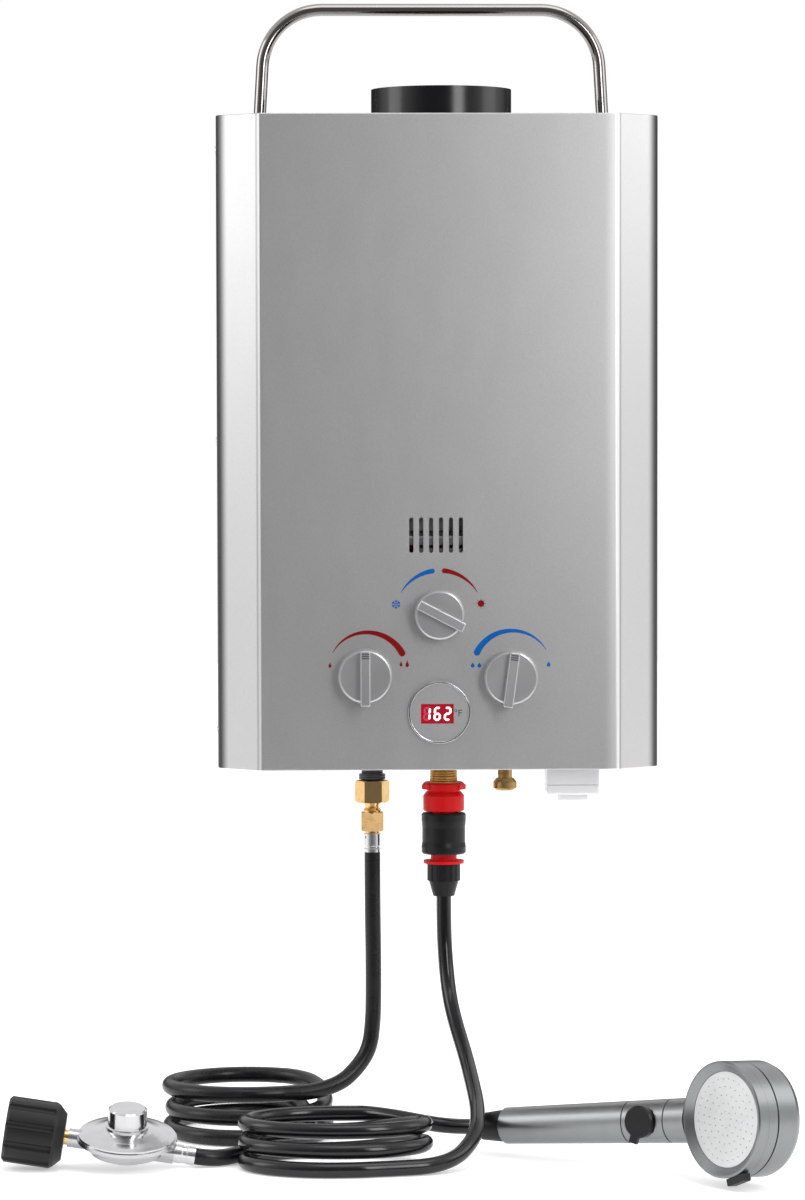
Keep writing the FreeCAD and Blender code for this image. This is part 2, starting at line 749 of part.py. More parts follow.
# Handle brackets: a base strip on the rear panel with two bored ears round each journal
brackets = []
for side in (-1, 1):
    inner = HANDLE_HALF_LOW - JOURNAL_IN
    outer = inner + 2 * EAR_T + EAR_GAP
    strap = block(inner - 8, outer, CASE_BACK, CASE_BACK + 1.4, HINGE_Z - 11, HINGE_Z + 11)
    for x in (inner, outer - EAR_T):
        ear = block(x, x + EAR_T, CASE_BACK, HANDLE_Y, HINGE_Z - EAR_R, HINGE_Z + EAR_R)
        ear = ear.fuse(solid_cylinder(EAR_R, EAR_T, V(x, HANDLE_Y, HINGE_Z), V(1, 0, 0)))
        strap = strap.fuse(ear)
    strap = strap.cut(solid_cylinder(ROD_R + HINGE_FIT, outer, V(inner - 9, HANDLE_Y, HINGE_Z), V(1, 0, 0)))
    if side < 0:
        strap = strap.mirror(V(0, 0, 0), V(1, 0, 0))
    brackets.append(strap.removeSplitter())
PARTS["handle_brackets"] = Part.makeCompound(brackets)

# Flue collar on the top plate, and the hood whose spigot stands inside it
collar = ring(FLUE_FLANGE_R, FLUE_R - FLUE_WALL, SHEET, V(FLUE_X, STACK_Y, panel_top))
tube_top = CASE_TOP + FLUE_RISE
collar = collar.fuse(ring(FLUE_R, FLUE_R - FLUE_WALL, tube_top - panel_top, V(FLUE_X, STACK_Y, panel_top)))
PARTS["flue_collar"] = collar.removeSplitter()

hood_x0 = FLUE_X - HOOD_W / 2
hood_y0 = STACK_Y - HOOD_D / 2
hood = block(hood_x0, hood_x0 + HOOD_W, hood_y0, hood_y0 + HOOD_D, HOOD_BOT, HOOD_TOP)
hood = hood.cut(block(hood_x0 + HOOD_WALL, hood_x0 + HOOD_W - HOOD_WALL, hood_y0 + HOOD_WALL,
                      hood_y0 + HOOD_D - HOOD_WALL, HOOD_BOT - 1, HOOD_TOP - HOOD_WALL))
spigot_top = CASE_TOP + SPIGOT_RISE
hood = hood.fuse(solid_cylinder(SPIGOT_R, spigot_top - HOOD_TOP, V(FLUE_X, STACK_Y, HOOD_TOP)))
hood = hood.cut(solid_cylinder(SPIGOT_R - HOOD_WALL, spigot_top - HOOD_TOP + 8,
                               V(FLUE_X, STACK_Y, HOOD_TOP - 4)))
PARTS["exhaust_hood"] = hood

# Exchanger: fins on a three-pass copper tube that rises from the water valve
fin_top = HOOD_BOT
fin_bot = fin_top - FIN_HEIGHT
pass_z = (fin_top + fin_bot) / 2
pass_y = [STACK_Y + PASS_PITCH * k for k in (1, 0, -1)]
fins = []
for k in range(FIN_COUNT):
    x = FLUE_X + (k - (FIN_COUNT - 1) / 2) * FIN_PITCH
    fin = block(x - FIN_T / 2, x + FIN_T / 2, STACK_Y - FIN_DEPTH / 2, STACK_Y + FIN_DEPTH / 2,
                fin_bot, fin_top)
    for y in pass_y:
        fin = fin.cut(solid_cylinder(TUBE_R + TUBE_FIT, FIN_T + 2, V(x - FIN_T, y, pass_z), V(1, 0, 0)))
    fins.append(fin)
PARTS["exchanger_fins"] = Part.makeCompound(fins)

turn_x = HOOD_W / 2 + TURN_OUT
right_x = FLUE_X + turn_x + PASS_PITCH / 2
left_x = FLUE_X - turn_x - PASS_PITCH / 2
riser_x = KNOB_X["water"] + RISER_OFF
riser_jog_z = VALVE_TOP + RISER_JOG
tube_points = [V(riser_x, pass_y[0], VALVE_TOP), V(riser_x, pass_y[0], riser_jog_z),
               V(right_x, pass_y[0], riser_jog_z), V(right_x, pass_y[0], pass_z), V(left_x, pass_y[0], pass_z),
               V(left_x, pass_y[1], pass_z), V(right_x, pass_y[1], pass_z), V(right_x, pass_y[2], pass_z),
               V(left_x, pass_y[2], pass_z), V(left_x, pass_y[2], fin_bot - TUBE_JOINT_DROP)]
PARTS["exchanger_tube"] = bent_pipe(tube_points, PASS_PITCH / 2 - 0.5, TUBE_R, "exchanger_tube")

shell_top = fin_bot
shell = block(FLUE_X - SHELL_W / 2, FLUE_X + SHELL_W / 2, STACK_Y - SHELL_D / 2, STACK_Y + SHELL_D / 2,
              SHELL_BOT, shell_top)
shell = shell.cut(block(FLUE_X - SHELL_W / 2 + SHELL_WALL, FLUE_X + SHELL_W / 2 - SHELL_WALL,
                        STACK_Y - SHELL_D / 2 + SHELL_WALL, STACK_Y + SHELL_D / 2 - SHELL_WALL,
                        SHELL_BOT - 1, shell_top + 1))
tab_back = CASE_BACK - SHEET
for tab_x in (FLUE_X - SHELL_TAB_X, FLUE_X + SHELL_TAB_X):
    tab_x0 = tab_x - SHELL_TAB_W / 2
    tab_x1 = tab_x + SHELL_TAB_W / 2
    for tab_z in (shell_top - SHELL_TAB_Z, SHELL_BOT + SHELL_TAB_Z):
        tab = block(tab_x0, tab_x1, STACK_Y + SHELL_D / 2 - SHELL_WALL, tab_back, tab_z, tab_z + SHELL_WALL)
        foot_plate = block(tab_x0, tab_x1, tab_back - SHELL_WALL, tab_back, tab_z, tab_z + SHELL_TAB_H)
        shell = shell.fuse(tab).fuse(foot_plate)
PARTS["combustion_shell"] = shell.removeSplitter()

# Burner: slotted bars in an open frame under the shell
frame_top = SHELL_BOT
frame_bot = frame_top - FRAME_H
frame = block(FLUE_X - SHELL_W / 2, FLUE_X + SHELL_W / 2, STACK_Y - SHELL_D / 2, STACK_Y + SHELL_D / 2,
              frame_bot, frame_top)
frame = frame.cut(block(FLUE_X - SHELL_W / 2 + FRAME_WALL, FLUE_X + SHELL_W / 2 - FRAME_WALL,
                        STACK_Y - SHELL_D / 2 + FRAME_WALL, STACK_Y + SHELL_D / 2 - FRAME_WALL,
                        frame_bot + FRAME_FLOOR_H, frame_top + 1))
bars = []
for k in range(BURNER_COUNT):
    x = FLUE_X + (k - (BURNER_COUNT - 1) / 2) * BURNER_PITCH
    floor_z = frame_bot + FRAME_FLOOR_H
    bar = block(x - BURNER_W / 2, x + BURNER_W / 2, STACK_Y - BURNER_DEPTH / 2, STACK_Y + BURNER_DEPTH / 2,
                floor_z, floor_z + BURNER_H)
    bar = bar.cut(block(x - BURNER_W / 2 + BURNER_WALL, x + BURNER_W / 2 - BURNER_WALL,
                        STACK_Y - BURNER_DEPTH / 2 + BURNER_WALL, STACK_Y + BURNER_DEPTH / 2 - BURNER_WALL,
                        floor_z - 1, floor_z + BURNER_H - BURNER_WALL))
    for j in range(BURNER_SLOTS):
        y = STACK_Y - BURNER_DEPTH / 2 + BURNER_DEPTH * (j + 0.5) / BURNER_SLOTS
        bar = bar.cut(block(x - BURNER_W / 3, x + BURNER_W / 3, y - BURNER_SLOT_W / 2, y + BURNER_SLOT_W / 2,
                            floor_z + BURNER_H - BURNER_SLOT_DEEP, floor_z + BURNER_H + 1))
    bars.append(bar)
    jet = solid_cylinder(JET_HOLE_R, 8, V(x, STACK_Y - SHELL_D / 2 - 2, floor_z + BURNER_H / 3), V(0, 1, 0))
    frame = frame.cut(jet)
PARTS["burner_frame"] = frame
PARTS["burner_bars"] = Part.makeCompound(bars)

# Manifold with the season valve body at its middle and a riser from the gas valve
jet_z = frame_bot + FRAME_FLOOR_H + BURNER_H / 3
frame_front = STACK_Y - SHELL_D / 2
manifold_y = frame_front - MANIFOLD_GAP - MANIFOLD_R
manifold = solid_cylinder(MANIFOLD_R, MANIFOLD_L, V(FLUE_X - MANIFOLD_L / 2, manifold_y, jet_z), V(1, 0, 0))
for k in range(BURNER_COUNT):
    x = FLUE_X + (k - (BURNER_COUNT - 1) / 2) * BURNER_PITCH
    jet_end = frame_front - JET_GAP
    manifold = manifold.fuse(solid_cylinder(JET_R, jet_end - manifold_y, V(x, manifold_y, jet_z), V(0, 1, 0)))
mode_x = KNOB_X["mode"]
mode_z = KNOB_Z["mode"]
manifold = manifold.fuse(block(mode_x - MODE_BODY_W / 2, mode_x + MODE_BODY_W / 2, manifold_y - MODE_BODY_FRONT,
                               manifold_y + MODE_BODY_BACK, mode_z - MODE_BODY_H / 2, jet_z))
manifold = manifold.cut(solid_cylinder(STEM_R + STEM_FIT, manifold_y + MODE_BODY_BACK + 1 - CASE_FRONT,
                                       V(mode_x, CASE_FRONT, mode_z), V(0, 1, 0)))
riser_z = VALVE_TOP - RISER_DROP
manifold = manifold.fuse(solid_cylinder(RISER_R, jet_z - riser_z, V(KNOB_X["gas"], manifold_y, riser_z)))
manifold = manifold.fuse(solid_cylinder(RISER_R, VALVE_FRONT - manifold_y,
                                        V(KNOB_X["gas"], manifold_y, riser_z), V(0, 1, 0)))
PARTS["gas_manifold"] = manifold.removeSplitter()

# Two spark electrodes and one flame sensor over the bars
pins = []
for pin_x in PIN_X:
    x = FLUE_X + pin_x
    y0 = STACK_Y - SHELL_D / 2
    z = SHELL_BOT + PIN_RISE
    seat = solid_cylinder(PIN_CERAMIC_R + STEM_FIT, SHELL_WALL + 4, V(x, y0 - 2, z), V(0, 1, 0))
    PARTS["combustion_shell"] = PARTS["combustion_shell"].cut(seat)
    ceramic = solid_cylinder(PIN_CERAMIC_R, PIN_CERAMIC_L, V(x, y0 - PIN_OUT, z), V(0, 1, 0))
    pins.append(ceramic.fuse(solid_cylinder(PIN_R, PIN_REACH, V(x, y0 - PIN_TIP_OUT, z), V(0, 1, 0))))
PARTS["ignition_pins"] = Part.makeCompound(pins)


def valve_body(name, width, bottom_x, bottom_radius, bottom_z):
    """A cast block with a stem boss in front and one boss below."""
    x = KNOB_X[name]
    z = KNOB_Z[name]
    body = block(x - width / 2, x + width / 2, VALVE_FRONT, VALVE_BACK, VALVE_BOT, VALVE_TOP)
    upright = [e for e in body.Edges if abs(e.BoundBox.ZLength - (VALVE_TOP - VALVE_BOT)) < 1e-6]
    body = body.makeFillet(VALVE_EDGE_R, upright)
    body = body.fuse(solid_cylinder(BOSS_R, BOSS_OUT, V(x, VALVE_FRONT - BOSS_OUT, z), V(0, 1, 0)))
    body = body.fuse(solid_cylinder(bottom_radius, VALVE_BOT - bottom_z, V(bottom_x, FIT_Y, bottom_z)))
    return body.cut(solid_cylinder(STEM_R + STEM_FIT, BOSS_OUT + STEM_BORE_IN, V(x, VALVE_FRONT - BOSS_OUT, z),
                                   V(0, 1, 0)))


floor_top = panel_bot + SHEET
gas_body = valve_body("gas", GAS_VALVE_W, GAS_X, GAS_NIPPLE_R + GAS_BOSS_WALL, floor_top)
gas_port = V(GAS_X, FIT_Y, CASE_BOT)
gas_body = gas_body.cut(solid_cylinder(GAS_NIPPLE_R + STEM_FIT, GAS_NIPPLE_IN + 0.5, gas_port))
gas_body = gas_body.cut(solid_cylinder(GAS_NIPPLE_R - GAS_NIPPLE_WALL, GAS_BORE_L, V(GAS_X, FIT_Y, CASE_BOT)))
PARTS["gas_valve_body"] = gas_body
solenoid_x = KNOB_X["gas"] - GAS_VALVE_W / 2
solenoid = solid_cylinder(SOLENOID_R, SOLENOID_L, V(solenoid_x, SOLENOID_Y, SOLENOID_Z), V(-1, 0, 0))
PARTS["solenoid_valve"] = solenoid.fuse(
    solid_cylinder(SOLENOID_R * SOLENOID_PIN_SHARE, SOLENOID_PIN_L,
                   V(solenoid_x - SOLENOID_L, SOLENOID_Y, SOLENOID_Z), V(-1, 0, 0)))

water_body = valve_body("water", WATER_VALVE_W, DRAIN_X, DRAIN_BOSS_R, floor_top)
chamber_half = WATER_VALVE_W / 2 - VALVE_WALL
water_body = water_body.cut(block(KNOB_X["water"] - chamber_half, KNOB_X["water"] + chamber_half,
                                  VALVE_FRONT + CHAMBER_IN, VALVE_BACK - VALVE_WALL,
                                  VALVE_BOT + CHAMBER_BASE, VALVE_TOP - VALVE_WALL))
diaphragm_x = KNOB_X["water"] - WATER_VALVE_W / 2
water_body = water_body.fuse(solid_cylinder(DIAPHRAGM_R, DIAPHRAGM_T, V(diaphragm_x, DIAPHRAGM_Y, DIAPHRAGM_Z),
                                            V(-1, 0, 0)))
drain_bore = DRAIN_NECK_R + STEM_FIT
drain_port = V(DRAIN_X, FIT_Y, floor_top - DRAIN_BORE_DROP)
water_body = water_body.cut(solid_cylinder(drain_bore, DRAIN_BORE_L, drain_port))
PARTS["water_valve_body"] = water_body.removeSplitter()

# Igniter box on the rear panel's floor, beside the casing's left wall
igniter_x0 = -CASE_W / 2 + IGNITER_SIDE_GAP
igniter_y1 = CASE_BACK - IGNITER_BACK_GAP
PARTS["igniter_box"] = block(igniter_x0, igniter_x0 + IGNITER_W, igniter_y1 - IGNITER_D, igniter_y1,
                             floor_top, floor_top + IGNITER_H)

# Pipes: hot water down behind the gas valve, cold water from its inlet to the water valve
nipple_top = CASE_BOT + OUTLET_RISE
hot_points = [V(left_x, pass_y[2], fin_bot - TUBE_JOINT_DROP), V(left_x, pass_y[2], HOT_JOG_TOP),
              V(left_x, HOT_BACK_Y, HOT_JOG_BOT), V(left_x, HOT_BACK_Y, HOT_RUN_Z),
              V(HOT_X, HOT_BACK_Y, HOT_RUN_Z),
              V(HOT_X, FIT_Y, HOT_END_Z), V(HOT_X, FIT_Y, nipple_top)]
PARTS["hot_pipe"] = bent_pipe(hot_points, HOT_BEND_R, TUBE_R, "hot_pipe")
cold_side_x = KNOB_X["water"] + WATER_VALVE_W / 2
cold_points = [V(cold_side_x, COLD_SIDE_Y, COLD_SIDE_Z), V(COLD_X, COLD_SIDE_Y, COLD_SIDE_Z),
               V(COLD_X, COLD_Y, COLD_TURN_Z), V(COLD_X, COLD_Y, CASE_BOT)]
cold = bent_pipe(cold_points, COLD_BEND_R, TUBE_R, "cold_pipe")
cold = cold.fuse(ring(THREAD_R, TUBE_R - TUBE_WALL, INLET_DROP, V(COLD_X, COLD_Y, CASE_BOT - INLET_DROP)))
PARTS["cold_pipe"] = cold

sensor_y = pass_y[2] - TUBE_R
sensor = solid_cylinder(SENSOR_R, SENSOR_H, V(left_x, sensor_y, SENSOR_Z), V(0, -1, 0))
PARTS["overheat_sensor"] = sensor.fuse(
    block(left_x - SENSOR_TAB_W / 2, left_x + SENSOR_TAB_W / 2, sensor_y - SENSOR_H - SENSOR_TAB_L,
          sensor_y - SENSOR_H, SENSOR_Z - SENSOR_TAB_T / 2, SENSOR_Z + SENSOR_TAB_T / 2))

# Outlet nipple: a male pipe thread with shallow rings for its turns
outlet_bot = CASE_BOT - OUTLET_DROP
thread = ring(THREAD_R, ADAPTER_BORE_R, nipple_top - outlet_bot, V(HOT_X, FIT_Y, outlet_bot))
for k in range(THREAD_RINGS):
    z = CASE_BOT - THREAD_PITCH * (k + 1)
    thread = thread.cut(ring(THREAD_R + 1, THREAD_R - THREAD_DEEP, THREAD_ROOT_W,
                             V(HOT_X, FIT_Y, z - THREAD_ROOT_W / 2)))
PARTS["outlet_nipple"] = thread

# Gas inlet: steel nipple, flare nut, hose union and ferrule in line
z = CASE_BOT - GAS_NIPPLE_DROP
nipple = solid_cylinder(GAS_NIPPLE_R, CASE_BOT + GAS_NIPPLE_IN - z, V(GAS_X, FIT_Y, z))
nipple = nipple.fuse(solid_cylinder(GAS_COLLAR_R, GAS_COLLAR_H, V(GAS_X, FIT_Y, z - GAS_COLLAR_H)))
z -= GAS_COLLAR_H
nipple = nipple.fuse(solid_cylinder(GAS_NIPPLE_R - 0.6, FLARE_GAP, V(GAS_X, FIT_Y, z - FLARE_GAP)))
bore_top = V(GAS_X, FIT_Y, CASE_BOT + 0.5)
nipple = nipple.cut(solid_cylinder(GAS_NIPPLE_R - GAS_NIPPLE_WALL, GAS_BORE_L, bore_top))
PARTS["gas_inlet_nipple"] = nipple
z -= FLARE_GAP + FLARE_H
flare = hexagon(FLARE_AF, FLARE_H, V(GAS_X, FIT_Y, z), turn=FLARE_TURN)
flare_neck = revolve([(0, 0), (FLARE_NECK_R, 0), (FLARE_NECK_R, FLARE_NECK_H * 0.2),
                      (FLARE_WAIST_R, FLARE_NECK_H * 0.45), (FLARE_WAIST_R, FLARE_NECK_H * 0.6),
                      (FLARE_NECK_R, FLARE_NECK_H), (0, FLARE_NECK_H)], V(GAS_X, FIT_Y, z - FLARE_NECK_H))
flare = flare.fuse(flare_neck)
PARTS["flare_nut"] = flare
z -= FLARE_NECK_H + UNION_H
union = hexagon(UNION_AF, UNION_H, V(GAS_X, FIT_Y, z), turn=UNION_TURN)
union = union.fuse(solid_cylinder(UNION_NECK_R, UNION_NECK_H, V(GAS_X, FIT_Y, z - UNION_NECK_H)))
PARTS["hose_union"] = union
z -= UNION_NECK_H + FERRULE_H
gas_hose_top = V(GAS_X, FIT_Y, z)
ferrule_profile = [(0, 0), (FERRULE_R, 0), (FERRULE_R, 2.4), (FERRULE_R - 0.45, 3.0), (FERRULE_R - 0.45, 4.4),
                   (FERRULE_R, 5.0), (FERRULE_R, FERRULE_H - 0.8), (FERRULE_R - 0.8, FERRULE_H), (0, FERRULE_H)]
top_ferrule = revolve(ferrule_profile, gas_hose_top)

# Drain plug: neck screwed into the valve's boss and a round head
plug_z = DRAIN_NECK_BOT - DRAIN_HEAD_H
plug = revolve([(0, 0), (DRAIN_HEAD_R * 0.7, 0), (DRAIN_HEAD_R, 1.8), (DRAIN_HEAD_R, 6.4),
                (DRAIN_NECK_R + 1.2, DRAIN_HEAD_H), (DRAIN_NECK_R, DRAIN_HEAD_H),
                (DRAIN_NECK_R, DRAIN_HEAD_H + 30), (0, DRAIN_HEAD_H + 30)], V(DRAIN_X, FIT_Y, plug_z))
plug = plug.cut(block(DRAIN_X - 12, DRAIN_X + 12, FIT_Y - 0.8, FIT_Y + 0.8, plug_z - 1, plug_z + 1.6))
PARTS["drain_plug"] = plug

# Tap adapter: a red collar screwed on the nipple, with a spigot into the connector
z = CASE_BOT - ADAPTER_DROP - ADAPTER_FLANGE_H
flange_shoulder = ADAPTER_FLANGE_H - ADAPTER_FLANGE_CHAMFER
adapter = revolve([(0, 0), (ADAPTER_FLANGE_R, 0), (ADAPTER_FLANGE_R, flange_shoulder),
                   (ADAPTER_FLANGE_R - ADAPTER_FLANGE_CHAMFER, ADAPTER_FLANGE_H), (0, ADAPTER_FLANGE_H)],
                  V(HOT_X, FIT_Y, z))
for k in range(3):
    ear = block(ADAPTER_FLANGE_R - 2, ADAPTER_FLANGE_R + ADAPTER_EAR, -ADAPTER_EAR_W / 2, ADAPTER_EAR_W / 2,
                0, flange_shoulder)
    adapter = adapter.fuse(place(ear, V(HOT_X, FIT_Y, z), FreeCAD.Rotation(V(0, 0, 1), 90.0 + 120.0 * k)))
adapter = adapter.cut(solid_cylinder(THREAD_R + STEM_FIT, 12, V(HOT_X, FIT_Y, outlet_bot)))
neck_z = z - ADAPTER_NECK_H
adapter = adapter.fuse(solid_cylinder(ADAPTER_NECK_R, ADAPTER_NECK_H, V(HOT_X, FIT_Y, neck_z)))
body_z = neck_z - ADAPTER_BODY_H
body = revolve([(0, 0), (ADAPTER_BODY_R - 0.6, 0), (ADAPTER_BODY_R, 0.8), (ADAPTER_BODY_R, ADAPTER_BODY_H - 3),
                (ADAPTER_BODY_R - 2.4, ADAPTER_BODY_H), (0, ADAPTER_BODY_H)], V(HOT_X, FIT_Y, body_z))
adapter = adapter.fuse(body)
spigot_at = V(HOT_X, FIT_Y, body_z - ADAPTER_SPIGOT_H)
adapter = adapter.fuse(solid_cylinder(ADAPTER_SPIGOT_R, ADAPTER_SPIGOT_H, spigot_at))
adapter = adapter.cut(solid_cylinder(ADAPTER_BORE_R, 60, V(HOT_X, FIT_Y, body_z - 20)))
PARTS["tap_adapter"] = adapter.removeSplitter()

# Connector: red core inside a black locking sleeve that slides down to release
sleeve_top = body_z - SLEEVE_GAP
sleeve_bot = sleeve_top - SLEEVE_H
sleeve = revolve([(SLEEVE_BORE_R, 0), (SLEEVE_R - 1, 0), (SLEEVE_R, 1.2), (SLEEVE_R, 5.5),
                  (SLEEVE_WAIST_R, 9.0), (SLEEVE_WAIST_R, SLEEVE_H - 11), (SLEEVE_R, SLEEVE_H - 5.5),
                  (SLEEVE_R, SLEEVE_H - 1.2), (SLEEVE_R - 1, SLEEVE_H), (SLEEVE_BORE_R, SLEEVE_H)],
                 V(HOT_X, FIT_Y, sleeve_bot))
PARTS["connector_sleeve"] = sleeve

core_r = SLEEVE_BORE_R - SLEEVE_FIT
core_bot = sleeve_bot - CONNECTOR_NECK_H
core_top = sleeve_top - 1.0
core = solid_cylinder(core_r, core_top - sleeve_bot, V(HOT_X, FIT_Y, sleeve_bot))
core = core.fuse(solid_cylinder(CONNECTOR_NECK_R, CONNECTOR_NECK_H, V(HOT_X, FIT_Y, core_bot)))
flange_z = core_bot - CONNECTOR_FLANGE_H
core = core.fuse(solid_cylinder(CONNECTOR_FLANGE_R, CONNECTOR_FLANGE_H, V(HOT_X, FIT_Y, flange_z)))
spigot_bot = body_z - ADAPTER_SPIGOT_H
spigot_end = V(HOT_X, FIT_Y, spigot_bot)
core = core.cut(solid_cylinder(ADAPTER_SPIGOT_R + 0.05, core_top - spigot_bot + 1, spigot_end))
core = core.cut(solid_cylinder(CONNECTOR_BORE_R, 60, V(HOT_X, FIT_Y, flange_z - 1)))
PARTS["connector_body"] = core.removeSplitter()

nut_z = flange_z - HOSE_NUT_H
hose_nut = revolve([(0, 0), (HOSE_NUT_TIP_R, 0), (HOSE_NUT_R - HOSE_NUT_STEP, HOSE_NUT_TAPER_H),
                    (HOSE_NUT_R, HOSE_NUT_TAPER_H), (HOSE_NUT_R, HOSE_NUT_TAPER_H + HOSE_NUT_H),
                    (0, HOSE_NUT_TAPER_H + HOSE_NUT_H)], V(HOT_X, FIT_Y, nut_z - HOSE_NUT_TAPER_H))
for k in range(HOSE_NUT_GROOVES):
    groove = solid_cylinder(HOSE_NUT_GROOVE_R, HOSE_NUT_H, V(HOSE_NUT_R + 0.3, 0, HOSE_NUT_TAPER_H - 0.1))
    hose_nut = hose_nut.cut(place(groove, V(HOT_X, FIT_Y, nut_z - HOSE_NUT_TAPER_H),
                                  FreeCAD.Rotation(V(0, 0, 1), 360.0 * k / HOSE_NUT_GROOVES)))
PARTS["hose_nut"] = hose_nut
shower_hose_top = V(HOT_X, FIT_Y, nut_z - HOSE_NUT_TAPER_H)

# Display: ring and face on the panel, module behind them with its window block
face_base = V(DISPLAY_X, CASE_FRONT, DISPLAY_Z)
bezel = ring(BEZEL_R, BEZEL_R - BEZEL_W, BEZEL_D, face_base, V(0, -1, 0))
bezel = bezel.makeFillet(0.8, [e for e in bezel.Edges if abs(e.CenterOfMass.y - CASE_FRONT + BEZEL_D) < 1e-6])
PARTS["display_bezel"] = bezel
window_x = DISPLAY_X + WINDOW_DX
window_z = DISPLAY_Z + WINDOW_DZ
disc = solid_cylinder(BEZEL_R - BEZEL_W, FACE_D, face_base, V(0, -1, 0))
disc = disc.cut(block(window_x - WINDOW_W / 2, window_x + WINDOW_W / 2, CASE_FRONT - 5, CASE_FRONT + 5,
                      window_z - WINDOW_H / 2, window_z + WINDOW_H / 2))
PARTS["display_face"] = disc
module = block(window_x - MODULE_W / 2, window_x + MODULE_W / 2, CASE_FRONT + SHEET + 1,
               CASE_FRONT + SHEET + 1 + MODULE_D, window_z - MODULE_H / 2, window_z + MODULE_H / 2)
module = module.fuse(block(window_x - WINDOW_W / 2 + 0.1, window_x + WINDOW_W / 2 - 0.1,
                           CASE_FRONT - FACE_D + 0.2, CASE_FRONT + SHEET + 2,
                           window_z - WINDOW_H / 2 + 0.1, window_z + WINDOW_H / 2 - 0.1))
PARTS["display_module"] = module.removeSplitter()


def knob_and_stem(name):
    """A round knob with a raised grip bar, and the stem that turns its valve."""
    radius = KNOB_R[name]
    depth = KNOB_DEPTH
    body = revolve([(0, 0), (radius - 0.2, 0), (radius, 0.4), (radius - 0.5, depth - KNOB_EDGE_R),
                    (radius - 0.5 - KNOB_EDGE_R * 0.3, depth - KNOB_EDGE_R * 0.3),
                    (radius - 0.5 - KNOB_EDGE_R, depth), (0, depth)])
    bar = block(-GRIP_W / 2, GRIP_W / 2, -radius - GRIP_OVERHANG, radius - GRIP_SHORT, 1.0, depth + GRIP_H)
    bar = bar.makeFillet(1.0, [e for e in bar.Edges if e.CenterOfMass.z > 1.5])
    body = body.fuse(bar)
    body = body.cut(solid_cylinder(STEM_R, KNOB_SOCKET_DEPTH, V(0, 0, -0.5)))
    front = FreeCAD.Rotation(V(1, 0, 0), 90.0)
    turn = FreeCAD.Rotation(V(0, 1, 0), KNOB_TURN[name])
    base = V(KNOB_X[name], CASE_FRONT - KNOB_OFF_PANEL, KNOB_Z[name])
    PARTS[name + "_knob"] = place(body, base, turn.multiply(front))
    stem_end = CASE_FRONT - KNOB_OFF_PANEL - KNOB_SOCKET_DEPTH + 0.6
    stem_back = manifold_y + MODE_STEM_REACH if name == "mode" else VALVE_FRONT + VALVE_STEM_REACH
    PARTS[name + "_valve_stem"] = solid_cylinder(STEM_R, stem_back - stem_end,
                                                 V(KNOB_X[name], stem_end, KNOB_Z[name]), V(0, 1, 0))


for knob_name in KNOB_X:
    knob_and_stem(knob_name)

# Battery box: an open-bottomed tube through the casing's floor, two cells, and a hinged lid
bx0 = BOX_X - box_half
bx1 = BOX_X + box_half
by0 = BOX_Y - box_half
by1 = BOX_Y + box_half
box = block(bx0, bx1, by0, by1, BOX_SEAM_Z, BOX_TOP_Z)
box = box.makeFillet(2.0, [e for e in box.Edges if e.BoundBox.ZLength > 100])
box = box.cut(block(bx0 + BOX_WALL, bx1 - BOX_WALL, by0 + BOX_WALL, by1 - BOX_WALL, BOX_SEAM_Z - 1,
                    BOX_TOP_Z - BOX_WALL))
hinge_y = by1 + LID_KNUCKLE_R + 0.3
hinge_z = BOX_SEAM_Z
knuckle_l = 7.0
for x in (bx0 + 3, bx1 - 3 - knuckle_l):
    ear = block(x, x + knuckle_l, by1 - 0.5, hinge_y, hinge_z, hinge_z + LID_KNUCKLE_R)
    ear = ear.fuse(solid_cylinder(LID_KNUCKLE_R, knuckle_l, V(x, hinge_y, hinge_z), V(1, 0, 0)))
    ear = ear.cut(block(x - 1, x + knuckle_l + 1, by1 - 4, by1 + 0.3, hinge_z - 9, hinge_z))
    box = box.fuse(ear)
box = box.fuse(solid_cylinder(LID_HINGE_R, BOX_W - 6, V(bx0 + 3, hinge_y, hinge_z), V(1, 0, 0)))
PARTS["battery_box"] = box.removeSplitter()

cells = []
for k in range(2):
    base_z = BOX_TOP_Z - BOX_WALL - (k + 1) * CELL_H
    cell = solid_cylinder(CELL_R, CELL_H - 1.5, V(BOX_X, BOX_Y, base_z))
    cells.append(cell.fuse(solid_cylinder(4.6, CELL_H, V(BOX_X, BOX_Y, base_z))))
PARTS["battery_cells"] = Part.makeCompound(cells)

lid_top = BOX_SEAM_Z - LID_GAP
lid = block(bx0, bx1, by0, by1, lid_top - LID_H, lid_top)
lid = lid.makeFillet(2.0, [e for e in lid.Edges if abs(e.BoundBox.ZLength - LID_H) < 1e-6])
lid = lid.makeChamfer(LID_CHAMFER, [e for e in lid.Edges if abs(e.CenterOfMass.z - lid_top + LID_H) < 1e-6])
lid = lid.fuse(block(BOX_X - LID_TAB_W / 2, BOX_X + LID_TAB_W / 2, by0 + 6, by0 + 6 + LID_TAB_T,
                     lid_top - LID_H - LID_TAB_H, lid_top - LID_H))
lid_x0 = bx0 + 3 + knuckle_l + 0.3
lid_x1 = bx1 - 3 - knuckle_l - 0.3
arm = block(lid_x0, lid_x1, by1 - 1, hinge_y, lid_top - 4.5, lid_top)
arm = arm.fuse(solid_cylinder(LID_KNUCKLE_R, lid_x1 - lid_x0, V(lid_x0, hinge_y, hinge_z), V(1, 0, 0)))
lid = lid.fuse(arm)
lid = lid.cut(solid_cylinder(LID_HINGE_R + HINGE_FIT, BOX_W, V(bx0, hinge_y, hinge_z), V(1, 0, 0)))
lid = lid.cut(block(bx0, bx1, by1 - 4, by1 + 0.4, lid_top, lid_top + 6))
PARTS["battery_lid"] = lid.removeSplitter()

